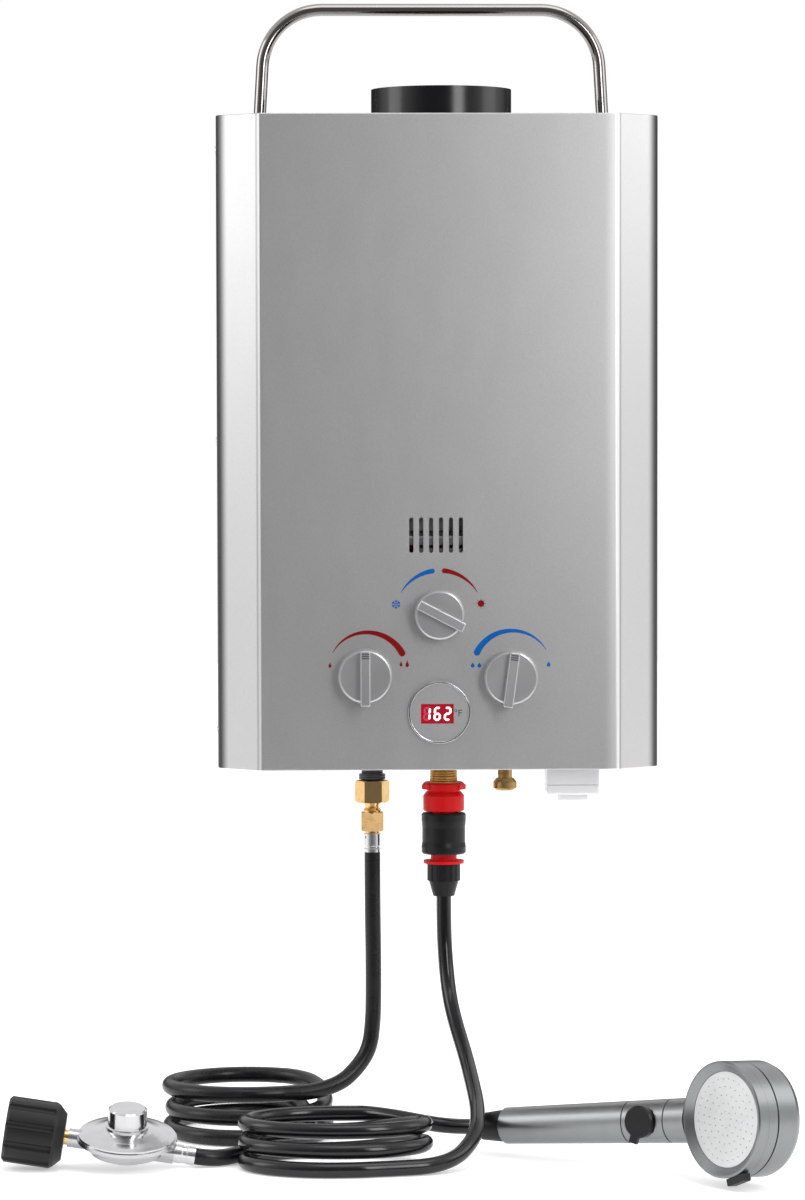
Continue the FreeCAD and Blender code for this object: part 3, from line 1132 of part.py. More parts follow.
# Regulator: local Z runs along its axis from the hose end to the tank
reg_axis = (REG_END - REG_START).normalize()
reg_turn = axis_turn(reg_axis)
pinch_r = REG_FERRULE_R - 0.5
reg_ferrule = revolve([(0, 0), (REG_FERRULE_R, 0), (REG_FERRULE_R, REG_FERRULE_L * 0.35),
                       (pinch_r, REG_FERRULE_L * 0.42), (pinch_r, REG_FERRULE_L * 0.58),
                       (REG_FERRULE_R, REG_FERRULE_L * 0.65), (REG_FERRULE_R, REG_FERRULE_L),
                       (0, REG_FERRULE_L)], REG_START, reg_turn)
PARTS["gas_hose_ferrules"] = Part.makeCompound([top_ferrule, reg_ferrule])

disc_centre = REG_START + reg_axis * REG_DISC_AT
lean_front = math.radians(REG_LEAN_FRONT)
disc_up = V(math.sin(math.radians(REG_LEAN_SIDE)), -math.sin(lean_front), math.cos(lean_front)).normalize()
disc_turn = FreeCAD.Rotation(reg_axis, V(0, 0, 0), disc_up, "ZXY")
pan = revolve([(0, -REG_PAN_BELOW), (REG_PAN_R * 0.6, -REG_PAN_BELOW), (REG_PAN_R, -REG_PAN_BELOW + 5),
               (REG_PAN_R + 1, REG_RIM_RISE - REG_RIM_T - 2), (REG_RIM_R - 0.6, REG_RIM_RISE - REG_RIM_T),
               (REG_RIM_R, REG_RIM_RISE - REG_RIM_T + 0.6), (REG_RIM_R, REG_RIM_RISE), (0, REG_RIM_RISE)],
              disc_centre, disc_turn)
spud_start = REG_START + reg_axis * REG_FERRULE_L
pan = pan.fuse(solid_cylinder(REG_SPUD_R, REG_DISC_AT - REG_FERRULE_L - 14, spud_start, reg_axis))
inlet_start = REG_START + reg_axis * (REG_DISC_AT + 14)
pan = pan.fuse(solid_cylinder(REG_INLET_R, REG_INLET_END - REG_DISC_AT - 14, inlet_start, reg_axis))
collar_seat = REG_START + reg_axis * REG_INLET_END

bonnet = revolve([(0, 0), (REG_RIM_R - 1.2, 0), (REG_RIM_R - 1.2, 1.6), (REG_RIM_R - 5, 2.6),
                  (REG_DOME_R + 6, REG_DOME_H * 0.6), (REG_DOME_R, REG_DOME_H - 0.8),
                  (REG_CAP_R + 1.6, REG_DOME_H),
                  (REG_CAP_R + 1.6, REG_DOME_H + 2), (REG_CAP_R, REG_DOME_H + 2.6),
                  (REG_CAP_R, REG_DOME_H + REG_CAP_H), (REG_CAP_R - 1.4, REG_DOME_H + REG_CAP_H + 1.2),
                  (0, REG_DOME_H + REG_CAP_H + 1.2)],
                 disc_centre + disc_up * REG_RIM_RISE, disc_turn)
PARTS["regulator_bonnet"] = bonnet
PARTS["regulator_body"] = pan.cut(bonnet).removeSplitter()

# Tank nipple with its collar, and the hand nut that spins on it behind that collar
nut_back = (REG_END - REG_START).Length - TANK_NUT_L / 2
collar_at = nut_back + TANK_NUT_BACK_L + 1.0
nose_end = nut_back + TANK_NUT_L - 6.0
nipple_len = nose_end - REG_INLET_END
tank_nipple = solid_cylinder(TANK_NIPPLE_R, nipple_len - 12, collar_seat, reg_axis)
tank_nipple = tank_nipple.fuse(solid_cylinder(TANK_NIPPLE_NOSE_R, nipple_len, collar_seat, reg_axis))
tank_nipple = tank_nipple.fuse(solid_cylinder(TANK_COLLAR_R, TANK_COLLAR_T, REG_START + reg_axis * collar_at,
                                              reg_axis))
PARTS["tank_nipple"] = tank_nipple.removeSplitter()

tank_nut = revolve([(0, 0), (TANK_NUT_BACK_R, 0), (TANK_NUT_R - 1.5, 5.5), (TANK_NUT_R, 8),
                    (TANK_NUT_R, TANK_NUT_L - 2), (TANK_NUT_R - 2, TANK_NUT_L), (0, TANK_NUT_L)])
for k in range(TANK_NUT_RIBS):
    groove = solid_cylinder(TANK_NUT_GROOVE_R, TANK_NUT_L, V(TANK_NUT_R + 1.2, 0, 8))
    groove_turn = FreeCAD.Rotation(V(0, 0, 1), 360.0 * k / TANK_NUT_RIBS)
    tank_nut = tank_nut.cut(place(groove, V(0, 0, 0), groove_turn))
socket_at = V(0, 0, TANK_NUT_L - TANK_NUT_BORE_L)
tank_nut = tank_nut.cut(solid_cylinder(TANK_NUT_BORE_R, TANK_NUT_BORE_L + 1, socket_at))
tank_nut = tank_nut.cut(solid_cylinder(TANK_COLLAR_R + 1.0, TANK_NUT_L, V(0, 0, TANK_NUT_BACK_L)))
tank_nut = tank_nut.cut(solid_cylinder(TANK_NIPPLE_R + SPIN_FIT, TANK_NUT_L, V(0, 0, -1)))
PARTS["tank_nut"] = place(tank_nut, REG_START + reg_axis * nut_back, reg_turn)

# Gas hose: drop from the ferrule, three loops on the floor, and the tail to the regulator
gas_coil = Coil(GAS_HOSE_R, 0.0, 1, ((350.0, 400.0), (700.0, 765.0)),
                ((0.0, -144.7, -97.0, 59.0, 66.0), (230.0, -144.7, -97.0, 59.0, 66.0),
                 (330.0, -144.7, -92.0, 45.5, 62.0), (415.0, -144.5, -91.0, 45.0, 54.0),
                 (500.0, -144.0, -88.0, 58.0, 58.0), (640.0, -144.0, -88.0, 58.0, 58.0),
                 (820.0, -145.0, -64.0, 60.0, 52.0)))
gas_stops = [0, 60, 120, 180, 240, 280, 320, 360, 400, 450, 500, 560, 630, 690, 740, 790, 850, 920, 990, 1012]
gas_edges = gas_coil.edges(gas_stops)
least_self_gap(gas_edges, GAS_HOSE_R, "gas_hose_coil")
PARTS["gas_hose_coil"] = sweep_tube(gas_edges, GAS_HOSE_R, "gas_hose_coil")


def on_floor(x, y, height):
    return V(x, y, FLOOR_Z + height)


gas_drop = [gas_hose_top, on_floor(GAS_X, FIT_Y, 175.0), on_floor(-48.0, -79.0, 135.0),
            on_floor(-48.0, -79.4, 105.0), on_floor(-48.4, -79.8, 84.0), on_floor(-51.0, -82.0, 62.0),
            on_floor(-61.0, -87.0, 47.5), on_floor(-73.5, -93.5, 37.0), gas_coil.after(gas_stops, 18.0),
            gas_coil.after(gas_stops, 0.0)]
gas_tail = [REG_START, REG_START - reg_axis * 8.0, on_floor(-164.0, -246.0, 6.2),
            on_floor(-155.5, -238.0, 6.2),
            on_floor(-149.3, -228.5, 6.2), on_floor(-141.5, -212.6, 6.2), on_floor(-125.5, -190.0, 6.2),
            on_floor(-108.0, -168.0, 6.2), on_floor(-94.0, -146.5, 6.2),
            gas_coil.before(gas_stops, 17.0), gas_coil.before(gas_stops, 0.0)]
PARTS["gas_hose_runs"] = Part.makeCompound([
    sweep_tube(route_edges(gas_drop, "gas drop"), GAS_HOSE_R, "gas drop"),
    sweep_tube(route_edges(gas_tail, "gas tail"), GAS_HOSE_R, "gas tail")])

# Handset: local Z runs along its handle from the hose end to the head
hand_axis = (HAND_END - HAND_START).normalize()
hand_turn = axis_turn(hand_axis)
face_yaw = math.radians(HEAD_FACE_YAW)
face_lift = math.radians(HEAD_FACE_LIFT)
face_level = math.cos(face_lift)
face_out = V(-math.sin(face_yaw) * face_level, -math.cos(face_yaw) * face_level, math.sin(face_lift))
head_back = HAND_END - face_out * (HEAD_D - HEAD_AXIS_BACK)
head_turn = axis_turn(face_out)

PARTS["handset_nut"] = revolve([(0, 0), (HAND_NUT_R0, 0), (HAND_NUT_R1, HAND_NUT_L * 0.8),
                                (HAND_NUT_R1, HAND_NUT_L), (0, HAND_NUT_L)], HAND_START, hand_turn)


def hand_radius(at):
    share = (at - HAND_NUT_L) / (HAND_LEN - HAND_NUT_L)
    return HAND_R0 + (HAND_R1 - HAND_R0) * share


grip_profile = [(0, HAND_NUT_L), (hand_radius(HAND_NUT_L) - 0.8, HAND_NUT_L), (HAND_R0, HAND_NUT_L + 1.0)]
for groove_at in HAND_GROOVE_AT:
    r = hand_radius(groove_at)
    grip_profile += [(r, groove_at), (r - HAND_GROOVE_DEEP, groove_at + 0.2),
                     (r - HAND_GROOVE_DEEP, groove_at + HAND_GROOVE_W - 0.2), (r, groove_at + HAND_GROOVE_W)]
grip_profile += [(HAND_R1, HAND_LEN), (0, HAND_LEN)]
grip = revolve(grip_profile, HAND_START, hand_turn)
knob_out = (face_out - hand_axis * face_out.dot(hand_axis)).normalize()
knob_seat = HAND_START + hand_axis * KNOB_AT + knob_out * (hand_radius(KNOB_AT) - 2.2)
grip = grip.cut(solid_cylinder(STOP_SEAT_R, 20, knob_seat, knob_out))
stem_seat = knob_seat - knob_out * STOP_STEM_L
grip = grip.cut(solid_cylinder(STOP_STEM_R + SPIN_FIT, STOP_STEM_L, stem_seat, knob_out))
neck = solid_cylinder(HAND_R1 - HAND_NECK_STEP, HAND_NECK_L, HAND_START + hand_axis * HAND_LEN, hand_axis)

tab_turn = math.radians(STOP_TAB_TURN)
tab_way = hand_axis.cross(knob_out)
if tab_way.z > 0:
    tab_way = tab_way * -1.0
tab_way = tab_way * math.cos(tab_turn) - hand_axis * math.sin(tab_turn)
stop_turn = FreeCAD.Rotation(tab_way, V(0, 0, 0), knob_out, "ZXY")
stem_end = -STOP_STEM_L + 0.4
stop = revolve([(0, stem_end), (STOP_STEM_R, stem_end), (STOP_STEM_R, 0.3), (STOP_KNOB_R, 0.3),
                (STOP_KNOB_R, STOP_KNOB_H), (STOP_KNOB_R - 1.2, STOP_KNOB_H + 1.2),
                (0, STOP_KNOB_H + 1.2)])
tab = block(0, STOP_TAB_L, -STOP_TAB_W / 2, STOP_TAB_W / 2, 2.6, STOP_KNOB_H + 0.6)
PARTS["stop_knob"] = place(stop.fuse(tab).removeSplitter(), knob_seat, stop_turn)

# Head: a rear cup, a spray ring that turns on its front, and the plate inside the ring
cup_d = HEAD_D - RING_D - RING_FIT
spigot_r = HEAD_R - RING_WALL - RING_FIT
plate_back = HEAD_D - PLATE_D - PLATE_RECESS
seam_at = HEAD_D - SEAM_BEHIND_FACE
cup = revolve([(0, 0), (HEAD_R - 5, 0), (HEAD_R - 1.4, 2.0), (HEAD_R, 5.5), (HEAD_R, seam_at - 0.7),
               (HEAD_R - SEAM_DEEP, seam_at - 0.5), (HEAD_R - SEAM_DEEP, seam_at + 0.5),
               (HEAD_R, seam_at + 0.7), (HEAD_R, cup_d), (spigot_r, cup_d), (spigot_r, plate_back),
               (0, plate_back)], head_back, head_turn)
PARTS["head_body"] = cup.fuse(neck).removeSplitter()
PARTS["handset_handle"] = grip.cut(cup)

spray_ring = revolve([(HEAD_R - RING_WALL, 0), (HEAD_R, 0), (HEAD_R, RING_D - 0.8), (HEAD_R - 0.8, RING_D),
                      (HEAD_R - 1.8, RING_D), (HEAD_R - RING_WALL, RING_D - RING_FUNNEL)],
                     head_back + face_out * (HEAD_D - RING_D), head_turn)
PARTS["spray_ring"] = spray_ring
plate = solid_cylinder(PLATE_R, PLATE_D, head_back + face_out * plate_back, face_out)
nozzles = []
for k, count in enumerate(NOZZLE_RINGS):
    radius = NOZZLE_PITCH * (k + 1)
    for j in range(count):
        angle = 2 * math.pi * j / count
        hole_at = V(radius * math.cos(angle), radius * math.sin(angle), plate_back - 1)
        nozzles.append(solid_cylinder(NOZZLE_R, PLATE_D + 2, hole_at))
nozzle_cut = place(Part.makeCompound(nozzles), head_back, head_turn)
PARTS["spray_plate"] = plate.cut(nozzle_cut)
lever_down = (V(0, 0, -1) + face_out * face_out.z).normalize()
lever_side = FreeCAD.Rotation(face_out, LEVER_TURN).multVec(lever_down)
lever_right = lever_side.cross(face_out)
lever_frame = FreeCAD.Rotation(lever_right, lever_side, face_out, "ZXY")
lever_t = RING_D - LEVER_SHORT
lever = block(-LEVER_W / 2, LEVER_W / 2, HEAD_R - 0.2, HEAD_R + LEVER_L, HEAD_D - RING_D,
              HEAD_D - LEVER_SHORT)
lever = lever.makeFillet(LEVER_CORNER_R, [e for e in lever.Edges if abs(e.BoundBox.ZLength - lever_t) < 1e-6
                                          and e.CenterOfMass.y > HEAD_R + 1])
lever = lever.cut(solid_cylinder(HEAD_R, 80, V(0, 0, -10)))
PARTS["mode_lever"] = place(lever, head_back, lever_frame)

# Shower hose: drop from the connector, loops on the floor, and the tail to the handset
shower_coil = Coil(SHOWER_HOSE_R, 285.0, -1, ((195.0, 285.0), (555.0, 645.0)),
                   ((180.0, -79.7, -256.0, 65.7, 44.0), (540.0, -79.7, -243.0, 65.7, 42.0),
                    (900.0, -79.7, -232.0, 66.0, 38.0)))
shower_stops = [0, 45, 90, 150, 195, 240, 285, 345, 405, 480, 555, 600, 645, 705, 780, 850, 915]
shower_edges = shower_coil.edges(shower_stops)
least_self_gap(shower_edges, SHOWER_HOSE_R, "shower_hose_coil")
PARTS["shower_hose_coil"] = sweep_tube(shower_edges, SHOWER_HOSE_R, "shower_hose_coil")

shower_drop = [shower_hose_top, on_floor(HOT_X, FIT_Y, 155.0), on_floor(7.2, -82.5, 131.6),
               on_floor(8.9, -91.0, 111.0), on_floor(11.1, -102.0, 96.3), on_floor(14.7, -117.0, 82.3),
               on_floor(20.1, -143.0, 64.7), on_floor(23.2, -172.0, 51.6), on_floor(25.7, -200.0, 39.5),
               on_floor(25.7, -222.0, 32.5), on_floor(24.1, -243.0, 25.6), on_floor(19.6, -257.0, 18.7),
               on_floor(8.4, -275.0, 10.0), on_floor(-10.0, -288.5, 6.2),
               shower_coil.before(shower_stops, 14.0),
               shower_coil.before(shower_stops, 0.0)]
shower_tail = [shower_coil.after(shower_stops, 0.0), shower_coil.after(shower_stops, 12.0),
               on_floor(-36.0, -189.5, 26.5), on_floor(-17.0, -184.5, 22.0), on_floor(1.0, -183.0, 18.5),
               HAND_START - hand_axis * 15.0, HAND_START]
PARTS["shower_hose_runs"] = Part.makeCompound([
    sweep_tube(route_edges(shower_drop, "shower drop"), SHOWER_HOSE_R, "shower drop"),
    sweep_tube(route_edges(shower_tail, "shower tail"), SHOWER_HOSE_R, "shower tail")])

for node, shape in PARTS.items():
    if not shape.isValid():
        print("invalid", node)
    shape.exportStep("parts/" + node + ".step")
    solids = len(shape.Solids)
    box_of = shape.optimalBoundingBox(False, False)
    print(f"{node:20s} solids {solids:3d} vol {shape.Volume:10.0f}  x {box_of.XMin:7.1f} {box_of.XMax:7.1f}"
          f"  y {box_of.YMin:7.1f} {box_of.YMax:7.1f}  z {box_of.ZMin:7.1f} {box_of.ZMax:7.1f}")
print("nodes", len(PARTS))
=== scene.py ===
"""Portable propane water heater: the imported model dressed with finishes, hoses, printed marks and a studio.

Lengths are in metres unless a name says otherwise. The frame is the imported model's: +X to the viewer's
right, +Z up, the wall plane at y = 0 and the viewer at -Y.
"""

import logging
import math
from dataclasses import dataclass, field
from enum import Enum

import bpy
from mathutils import Matrix, Vector

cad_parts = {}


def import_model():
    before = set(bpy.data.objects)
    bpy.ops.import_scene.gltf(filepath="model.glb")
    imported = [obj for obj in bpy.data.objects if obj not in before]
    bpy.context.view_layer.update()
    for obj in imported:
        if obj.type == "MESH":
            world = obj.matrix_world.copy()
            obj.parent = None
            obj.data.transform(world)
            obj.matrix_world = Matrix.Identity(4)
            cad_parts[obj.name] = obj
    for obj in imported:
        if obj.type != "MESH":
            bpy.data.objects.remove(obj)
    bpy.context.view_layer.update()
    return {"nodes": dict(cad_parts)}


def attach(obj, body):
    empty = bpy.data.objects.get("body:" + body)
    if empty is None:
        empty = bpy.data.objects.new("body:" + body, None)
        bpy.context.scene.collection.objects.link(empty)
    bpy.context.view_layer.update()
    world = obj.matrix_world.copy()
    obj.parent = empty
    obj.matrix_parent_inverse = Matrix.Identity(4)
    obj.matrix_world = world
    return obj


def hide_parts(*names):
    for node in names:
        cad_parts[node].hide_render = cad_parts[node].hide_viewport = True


LOG = logging.getLogger("heater")
MM = 0.001
FLOOR_Z = -0.718
PANEL_Y = -0.164
PRINT_THICK = 0.00008
PRINT_LIFT = 0.00002
BEVEL_END_Y = -0.136
LOOP_SPACING = 22.0
SPLINE_SWELL = 1.0196
HAND_SHOWER_AT = (31.2, -200.0, 20.5)
HAND_SHOWER_AXIS = (0.8093, -0.5766, 0.1133)

Colour = tuple[float, float, float]
Outline = list[tuple[float, float]]


class Wire:
    """One output socket of a material's nodes. Arithmetic on a wire adds the Math nodes it needs."""

    def __init__(self, graph: "Graph", socket: bpy.types.NodeSocket) -> None:
        """Keeps the socket and the graph it belongs to."""
        self.graph = graph
        self.socket = socket

    def maths(self, operation: str, *values: object) -> "Wire":
        """Adds one Math node.

        Args:
            operation: Blender's name of the operation.
            values: wires or numbers in the order of the node's sockets.
        Returns:
            The node's result.
        """
        return self.graph.node("ShaderNodeMath", {"operation": operation}, dict(enumerate(values)))

    def __add__(self, other: object) -> "Wire":
        """Sum."""
        return self.maths("ADD", self, other)

    def __radd__(self, other: object) -> "Wire":
        """Sum with the number first."""
        return self.maths("ADD", other, self)

    def __sub__(self, other: object) -> "Wire":
        """Difference."""
        return self.maths("SUBTRACT", self, other)

    def __rsub__(self, other: object) -> "Wire":
        """Difference with the number first."""
        return self.maths("SUBTRACT", other, self)

    def __mul__(self, other: object) -> "Wire":
        """Product."""
        return self.maths("MULTIPLY", self, other)

    def __rmul__(self, other: object) -> "Wire":
        """Product with the number first."""
        return self.maths("MULTIPLY", other, self)

    def step(self, low: float, high: float) -> "Wire":
        """A smooth rise from 0 at low to 1 at high.

        Args:
            low: value where the rise starts.
            high: value where it ends, which may be below low for a fall.
        Returns:
            The mask as a wire.
        """
        settings = {"interpolation_type": "SMOOTHSTEP"}
        return self.graph.node("ShaderNodeMapRange", settings, {0: self, 1: low, 2: high, 3: 0.0, 4: 1.0})


class Graph:
    """The node tree of one material or of the world."""

    def __init__(self, tree: bpy.types.NodeTree) -> None:
        """Empties the tree before it is filled."""
        self.tree = tree
        self.tree.nodes.clear()

    def node(self, kind: str, settings: dict | None = None, sockets: dict | None = None,
             output: int = 0) -> Wire:
        """Adds one node, sets it and links it.

        Args:
            kind: the node's type.
            settings: properties, set before the sockets.
            sockets: values or wires by socket name or number.
            output: number of the output that is wanted.
        Returns:
            That output as a wire.
        """
        made = self.tree.nodes.new(kind)
        for key, value in (settings or {}).items():
            setattr(made, key, value)
        for key, value in (sockets or {}).items():
            if isinstance(value, Wire):
                self.tree.links.new(value.socket, made.inputs[key])
            else:
                made.inputs[key].default_value = value
        return Wire(self, made.outputs[output] if made.outputs else None)

    def place(self, stretch: Colour = (1.0, 1.0, 1.0)) -> Wire:
        """The point on the object in metres.

        Args:
            stretch: factor along each axis; a small one draws a pattern out along that axis.
        Returns:
            The vector as a wire.
        """
        spot = self.node("ShaderNodeTexCoord", output=3)
        return self.node("ShaderNodeVectorMath", {"operation": "MULTIPLY"}, {0: spot, 1: stretch})

    def axis(self, name: str) -> Wire:
        """One coordinate of the point in metres, by its letter."""
        spot = self.node("ShaderNodeTexCoord", output=3)
        return self.node("ShaderNodeSeparateXYZ", sockets={0: spot}, output="XYZ".index(name))

    def noise(self, per_metre: float, detail: float = 3.0, stretch: Colour = (1.0, 1.0, 1.0)) -> Wire:
        """Soft noise between 0 and 1.

        Args:
            per_metre: how many cells there are in a metre.
            detail: how many finer layers are added.
            stretch: see place().
        Returns:
            The value as a wire.
        """
        sockets = {"Vector": self.place(stretch), "Scale": per_metre, "Detail": detail, "Roughness": 0.55}
        return self.node("ShaderNodeTexNoise", {}, sockets)

    def cells(self, per_metre: float) -> Wire:
        """A grey that is even inside each cell of a random mosaic."""
        tint = self.node("ShaderNodeTexVoronoi", {}, {"Vector": self.place(), "Scale": per_metre}, output=1)
        return self.node("ShaderNodeSeparateColor", sockets={0: tint})

    def mix(self, share: object, first: object, second: object) -> Wire:
        """Blends two colours.

        Args:
            share: 0 gives the first, 1 the second.
            first: a colour or a wire.
            second: a colour or a wire.
        Returns:
            The blend as a wire.
        """
        values = [value if isinstance(value, Wire) else (*value, 1.0) for value in (first, second)]
        sockets = {0: share, 6: values[0], 7: values[1]}
        return self.node("ShaderNodeMix", {"data_type": "RGBA"}, sockets, output=2)

    def bump(self, height: Wire, depth: float, strength: float = 1.0) -> Wire:
        """Turns a height between 0 and 1 into a normal; depth is in metres."""
        return self.node("ShaderNodeBump", {}, {"Height": height, "Distance": depth, "Strength": strength})


def shade(colour: Colour, factor: float) -> Colour:
    """The colour made lighter or darker by a factor."""
    return tuple(min(1.0, channel * factor) for channel in colour)


@dataclass(frozen=True)
class Finish:
    """A surface: its colour, how rough it is and the marks it carries."""

    name: str
    colour: Colour
    roughness: float = 0.4
    spread: float = 0.06
    patch: float = 25.0
    grain: float = 900.0
    grain_depth: float = 0.00002
    coat: float = 0.0
    shine: float = 0.5

    def surface(self, graph: Graph) -> dict:
        """The sockets that this finish sets on the shader.

        Args:
            graph: the material's node tree.
        Returns:
            Values or wires by socket name.
        """
        raise NotImplementedError

    def toned(self, graph: Graph) -> Wire:
        """The colour with soft, broad changes of tone."""
        broad = graph.noise(self.patch, 4.0)
        return graph.mix(broad, shade(self.colour, 1.0 - self.spread), shade(self.colour, 1.0 + self.spread))

    def material(self) -> bpy.types.Material:
        """Builds the material.

        Returns:
            A material with its nodes linked.
        """
        made = bpy.data.materials.new(self.name)
        made.use_nodes = True
        graph = Graph(made.node_tree)
        sockets = {"Coat Weight": self.coat, "Specular IOR Level": self.shine, **self.surface(graph)}
        shader = graph.node("ShaderNodeBsdfPrincipled", {}, sockets)
        graph.node("ShaderNodeOutputMaterial", {}, {"Surface": shader})
        return made


@dataclass(frozen=True)
class MetallicPaint(Finish):
    """Silver stoving paint with fine flakes and a soft clear film. On a folded sheet, fold and edge are the
    distances of the front's folds and of the outer edges from the middle, where painted highlight and shade lines
    are laid."""

    metallic: float = 0.75
    edge: float = 0.0
    fold: float = 0.0
    roll: tuple = (0.013, 0.002)
    crease_shade: tuple = (0.0012, 0.0014)
    edge_band: tuple = (0.0085, 0.0018)
    edge_back: float = 0.004

    def paint_fold_highlight_and_shade(self, graph: Graph, tone: Wire) -> Wire:
        """The tone along a folded sheet, with painted light: a painted highlight where the front rolls off, painted
        shade in the fold and a painted dark reflection at the edges.

        Args:
            graph: the material's node tree.
            tone: the even tone of the sheet.
        Returns:
            The tone with its lines.
        """
        across = graph.axis("X")
        side = across.maths("ABSOLUTE", across)
        fold = self.fold
        # painted highlight where the front rolls off, and painted shade in the crease
        roll_highlight = across.step(fold - self.roll[0], fold - self.roll[1]) * side.step(fold, fold - 0.001)
        crease_shade = side.step(fold - self.crease_shade[0], fold) * side.step(fold + self.crease_shade[1], fold + 0.0002)
        tone = graph.mix(roll_highlight * 0.75, tone, (0.80, 0.80, 0.80))
        tone = graph.mix(crease_shade * 0.45, tone, (0.10, 0.10, 0.10))
        # painted dark reflection along the outer edges of the bevels
        edge_shade = side.step(self.edge - self.edge_band[0], self.edge - self.edge_band[1])
        on_bevel = graph.axis("Y").step(BEVEL_END_Y + self.edge_back, BEVEL_END_Y)
        return graph.mix(edge_shade * on_bevel, tone, (0.03, 0.03, 0.03))

    def surface(self, graph: Graph) -> dict:
        """Flake sparkle, slow drift of tone, and rub marks in the roughness."""
        flakes = graph.noise(2600.0, 1.0).step(0.35, 0.68)
        tone = graph.mix(flakes, self.toned(graph), shade(self.colour, 1.16))
        # on a folded sheet the tone carries a painted highlight and painted shade lines
        if self.edge > 0.0:
            tone = self.paint_fold_highlight_and_shade(graph, tone)
        rubbed = graph.noise(60.0, 5.0, (1.0, 1.0, 0.35))
        peel = graph.noise(self.grain, 2.0)
        return {"Base Color": tone, "Metallic": self.metallic,
                "Roughness": self.roughness - 0.03 + rubbed * 0.07,
                "Normal": graph.bump(peel, self.grain_depth, 0.5), "Coat Roughness": 0.3}


@dataclass(frozen=True)
class Metal(Finish):
    """Bare metal with drawn or turned marks along one direction and patches of tarnish."""

    drawn: Colour = (1.0, 1.0, 1.0)
    tarnish: Colour = (0.2, 0.17, 0.13)
    tarnished: float = 0.0
    pitch: float = 0.0

    def surface(self, graph: Graph) -> dict:
        """Fine scratches, tarnish in the colour, and a thread where there is a pitch, with painted shade in its
        grooves.
        """
        scratches = graph.noise(self.grain, 3.0, self.drawn)
        patches = graph.noise(self.patch * 4.0, 6.0).step(0.45, 0.75)
        tone = graph.mix(patches * self.tarnished, self.toned(graph), self.tarnish)
        rough = self.roughness - 0.04 + scratches * 0.08 + patches * (0.25 * self.tarnished)
        relief = graph.bump(scratches, self.grain_depth, 0.5)
        if self.pitch > 0.0:
            along = graph.axis("Z") * (2.0 * math.pi / self.pitch)
            turn = along.maths("SINE", along)
            relief = graph.bump(turn * 0.5 + 0.5, 0.0005)
            # painted shade darkens the thread's grooves
            tone = graph.mix(turn.step(0.2, -0.9) * 0.55, tone, shade(self.colour, 0.35))
        return {"Base Color": tone, "Metallic": 1.0, "Roughness": rough, "Normal": relief}


@dataclass(frozen=True)
class PlatedSheet(Finish):
    """Zinc-plated sheet with its spangle of crystals."""

    def surface(self, graph: Graph) -> dict:
        """Crystals change tone and roughness from one to the next."""
        crystal = graph.cells(170.0)
        tone = graph.mix(crystal, shade(self.colour, 0.82), shade(self.colour, 1.12))
        return {"Base Color": tone, "Metallic": 0.9, "Roughness": self.roughness + crystal * 0.12,
                "Normal": graph.bump(graph.noise(self.grain, 2.0), self.grain_depth, 0.4)}


@dataclass(frozen=True)
class CastMetal(Finish):
    """Die-cast zinc: a skin with faint flow marks and small pits."""

    metallic: float = 1.0

    def surface(self, graph: Graph) -> dict:
        """Flow marks in the tone, and pits in the bump."""
        flow = graph.noise(90.0, 5.0, (1.0, 1.0, 0.4))
        pits = graph.noise(self.grain, 4.0).step(0.30, 0.44)
        tone = graph.mix(flow, shade(self.colour, 0.88), shade(self.colour, 1.1))
        return {"Base Color": tone, "Metallic": self.metallic,
                "Roughness": self.roughness - 0.05 + flow * 0.12,
                "Normal": graph.bump(pits, self.grain_depth, 0.6)}


@dataclass(frozen=True)
class Moulded(Finish):
    """Moulded plastic with a fine spark-eroded grain and light handling marks."""

    through: float = 0.0
    metallic: float = 0.0

    def surface(self, graph: Graph) -> dict:
        """Grain in the bump, handling marks in the roughness, soft changes of tone."""
        handled = graph.noise(45.0, 6.0)
        specks = graph.noise(self.grain, 2.0)
        return {"Base Color": self.toned(graph), "Roughness": self.roughness - 0.06 + handled * 0.14,
                "Metallic": self.metallic, "Normal": graph.bump(specks, self.grain_depth, 0.5),
                "Subsurface Weight": self.through, "Subsurface Radius": (0.012, 0.012, 0.013),
                "Coat Roughness": 0.12}


@dataclass(frozen=True)
class HoseSkin(Finish):
    """Extruded hose: fine lines along its length, scuffs and a little dust."""

    dust: float = 0.15

    def surface(self, graph: Graph) -> dict:
        """Scuffs lift the roughness, dust lifts the tone."""
        scuff = graph.noise(130.0, 7.0).step(0.55, 0.78)
        bloom = graph.noise(38.0, 4.0).step(0.45, 0.8)
        tone = graph.mix(bloom * self.dust + scuff * 0.06, self.toned(graph), (0.13, 0.13, 0.135))
        return {"Base Color": tone, "Roughness": self.roughness + scuff * 0.10 + bloom * 0.06,
                "Normal": graph.bump(graph.noise(self.grain, 3.0), self.grain_depth, 0.5),
                "Coat Roughness": 0.1}


@dataclass(frozen=True)
class Ink(Finish):
    """Screen-printed ink with the cloth's faint mesh at its surface."""

    def surface(self, graph: Graph) -> dict:
        """Thin spots let the tone drift; the mesh shows in the bump."""
        thin = graph.noise(420.0, 3.0).step(0.3, 0.7)
        tone = graph.mix(thin, shade(self.colour, 0.82), shade(self.colour, 1.08))
        return {"Base Color": tone, "Roughness": self.roughness + thin * 0.08,
                "Normal": graph.bump(graph.noise(self.grain, 1.0), self.grain_depth, 0.3)}


@dataclass(frozen=True)
class Glow(Finish):
    """A glowing surface, unevenly bright, behind a glossy pane. The lit digits are the display's own light; the
    glow of the window and of the unlit segments is painted light.
    """

    lit: Colour = (1.0, 0.1, 0.1)
    power: float = 1.0

    def surface(self, graph: Graph) -> dict:
        """Soft unevenness of the light, over a dark body colour."""
        uneven = graph.noise(160.0, 2.0)
        return {"Base Color": self.toned(graph), "Roughness": self.roughness + uneven * 0.05,
                "Emission Color": graph.mix(uneven, shade(self.lit, 0.8), self.lit),
                "Emission Strength": self.power}


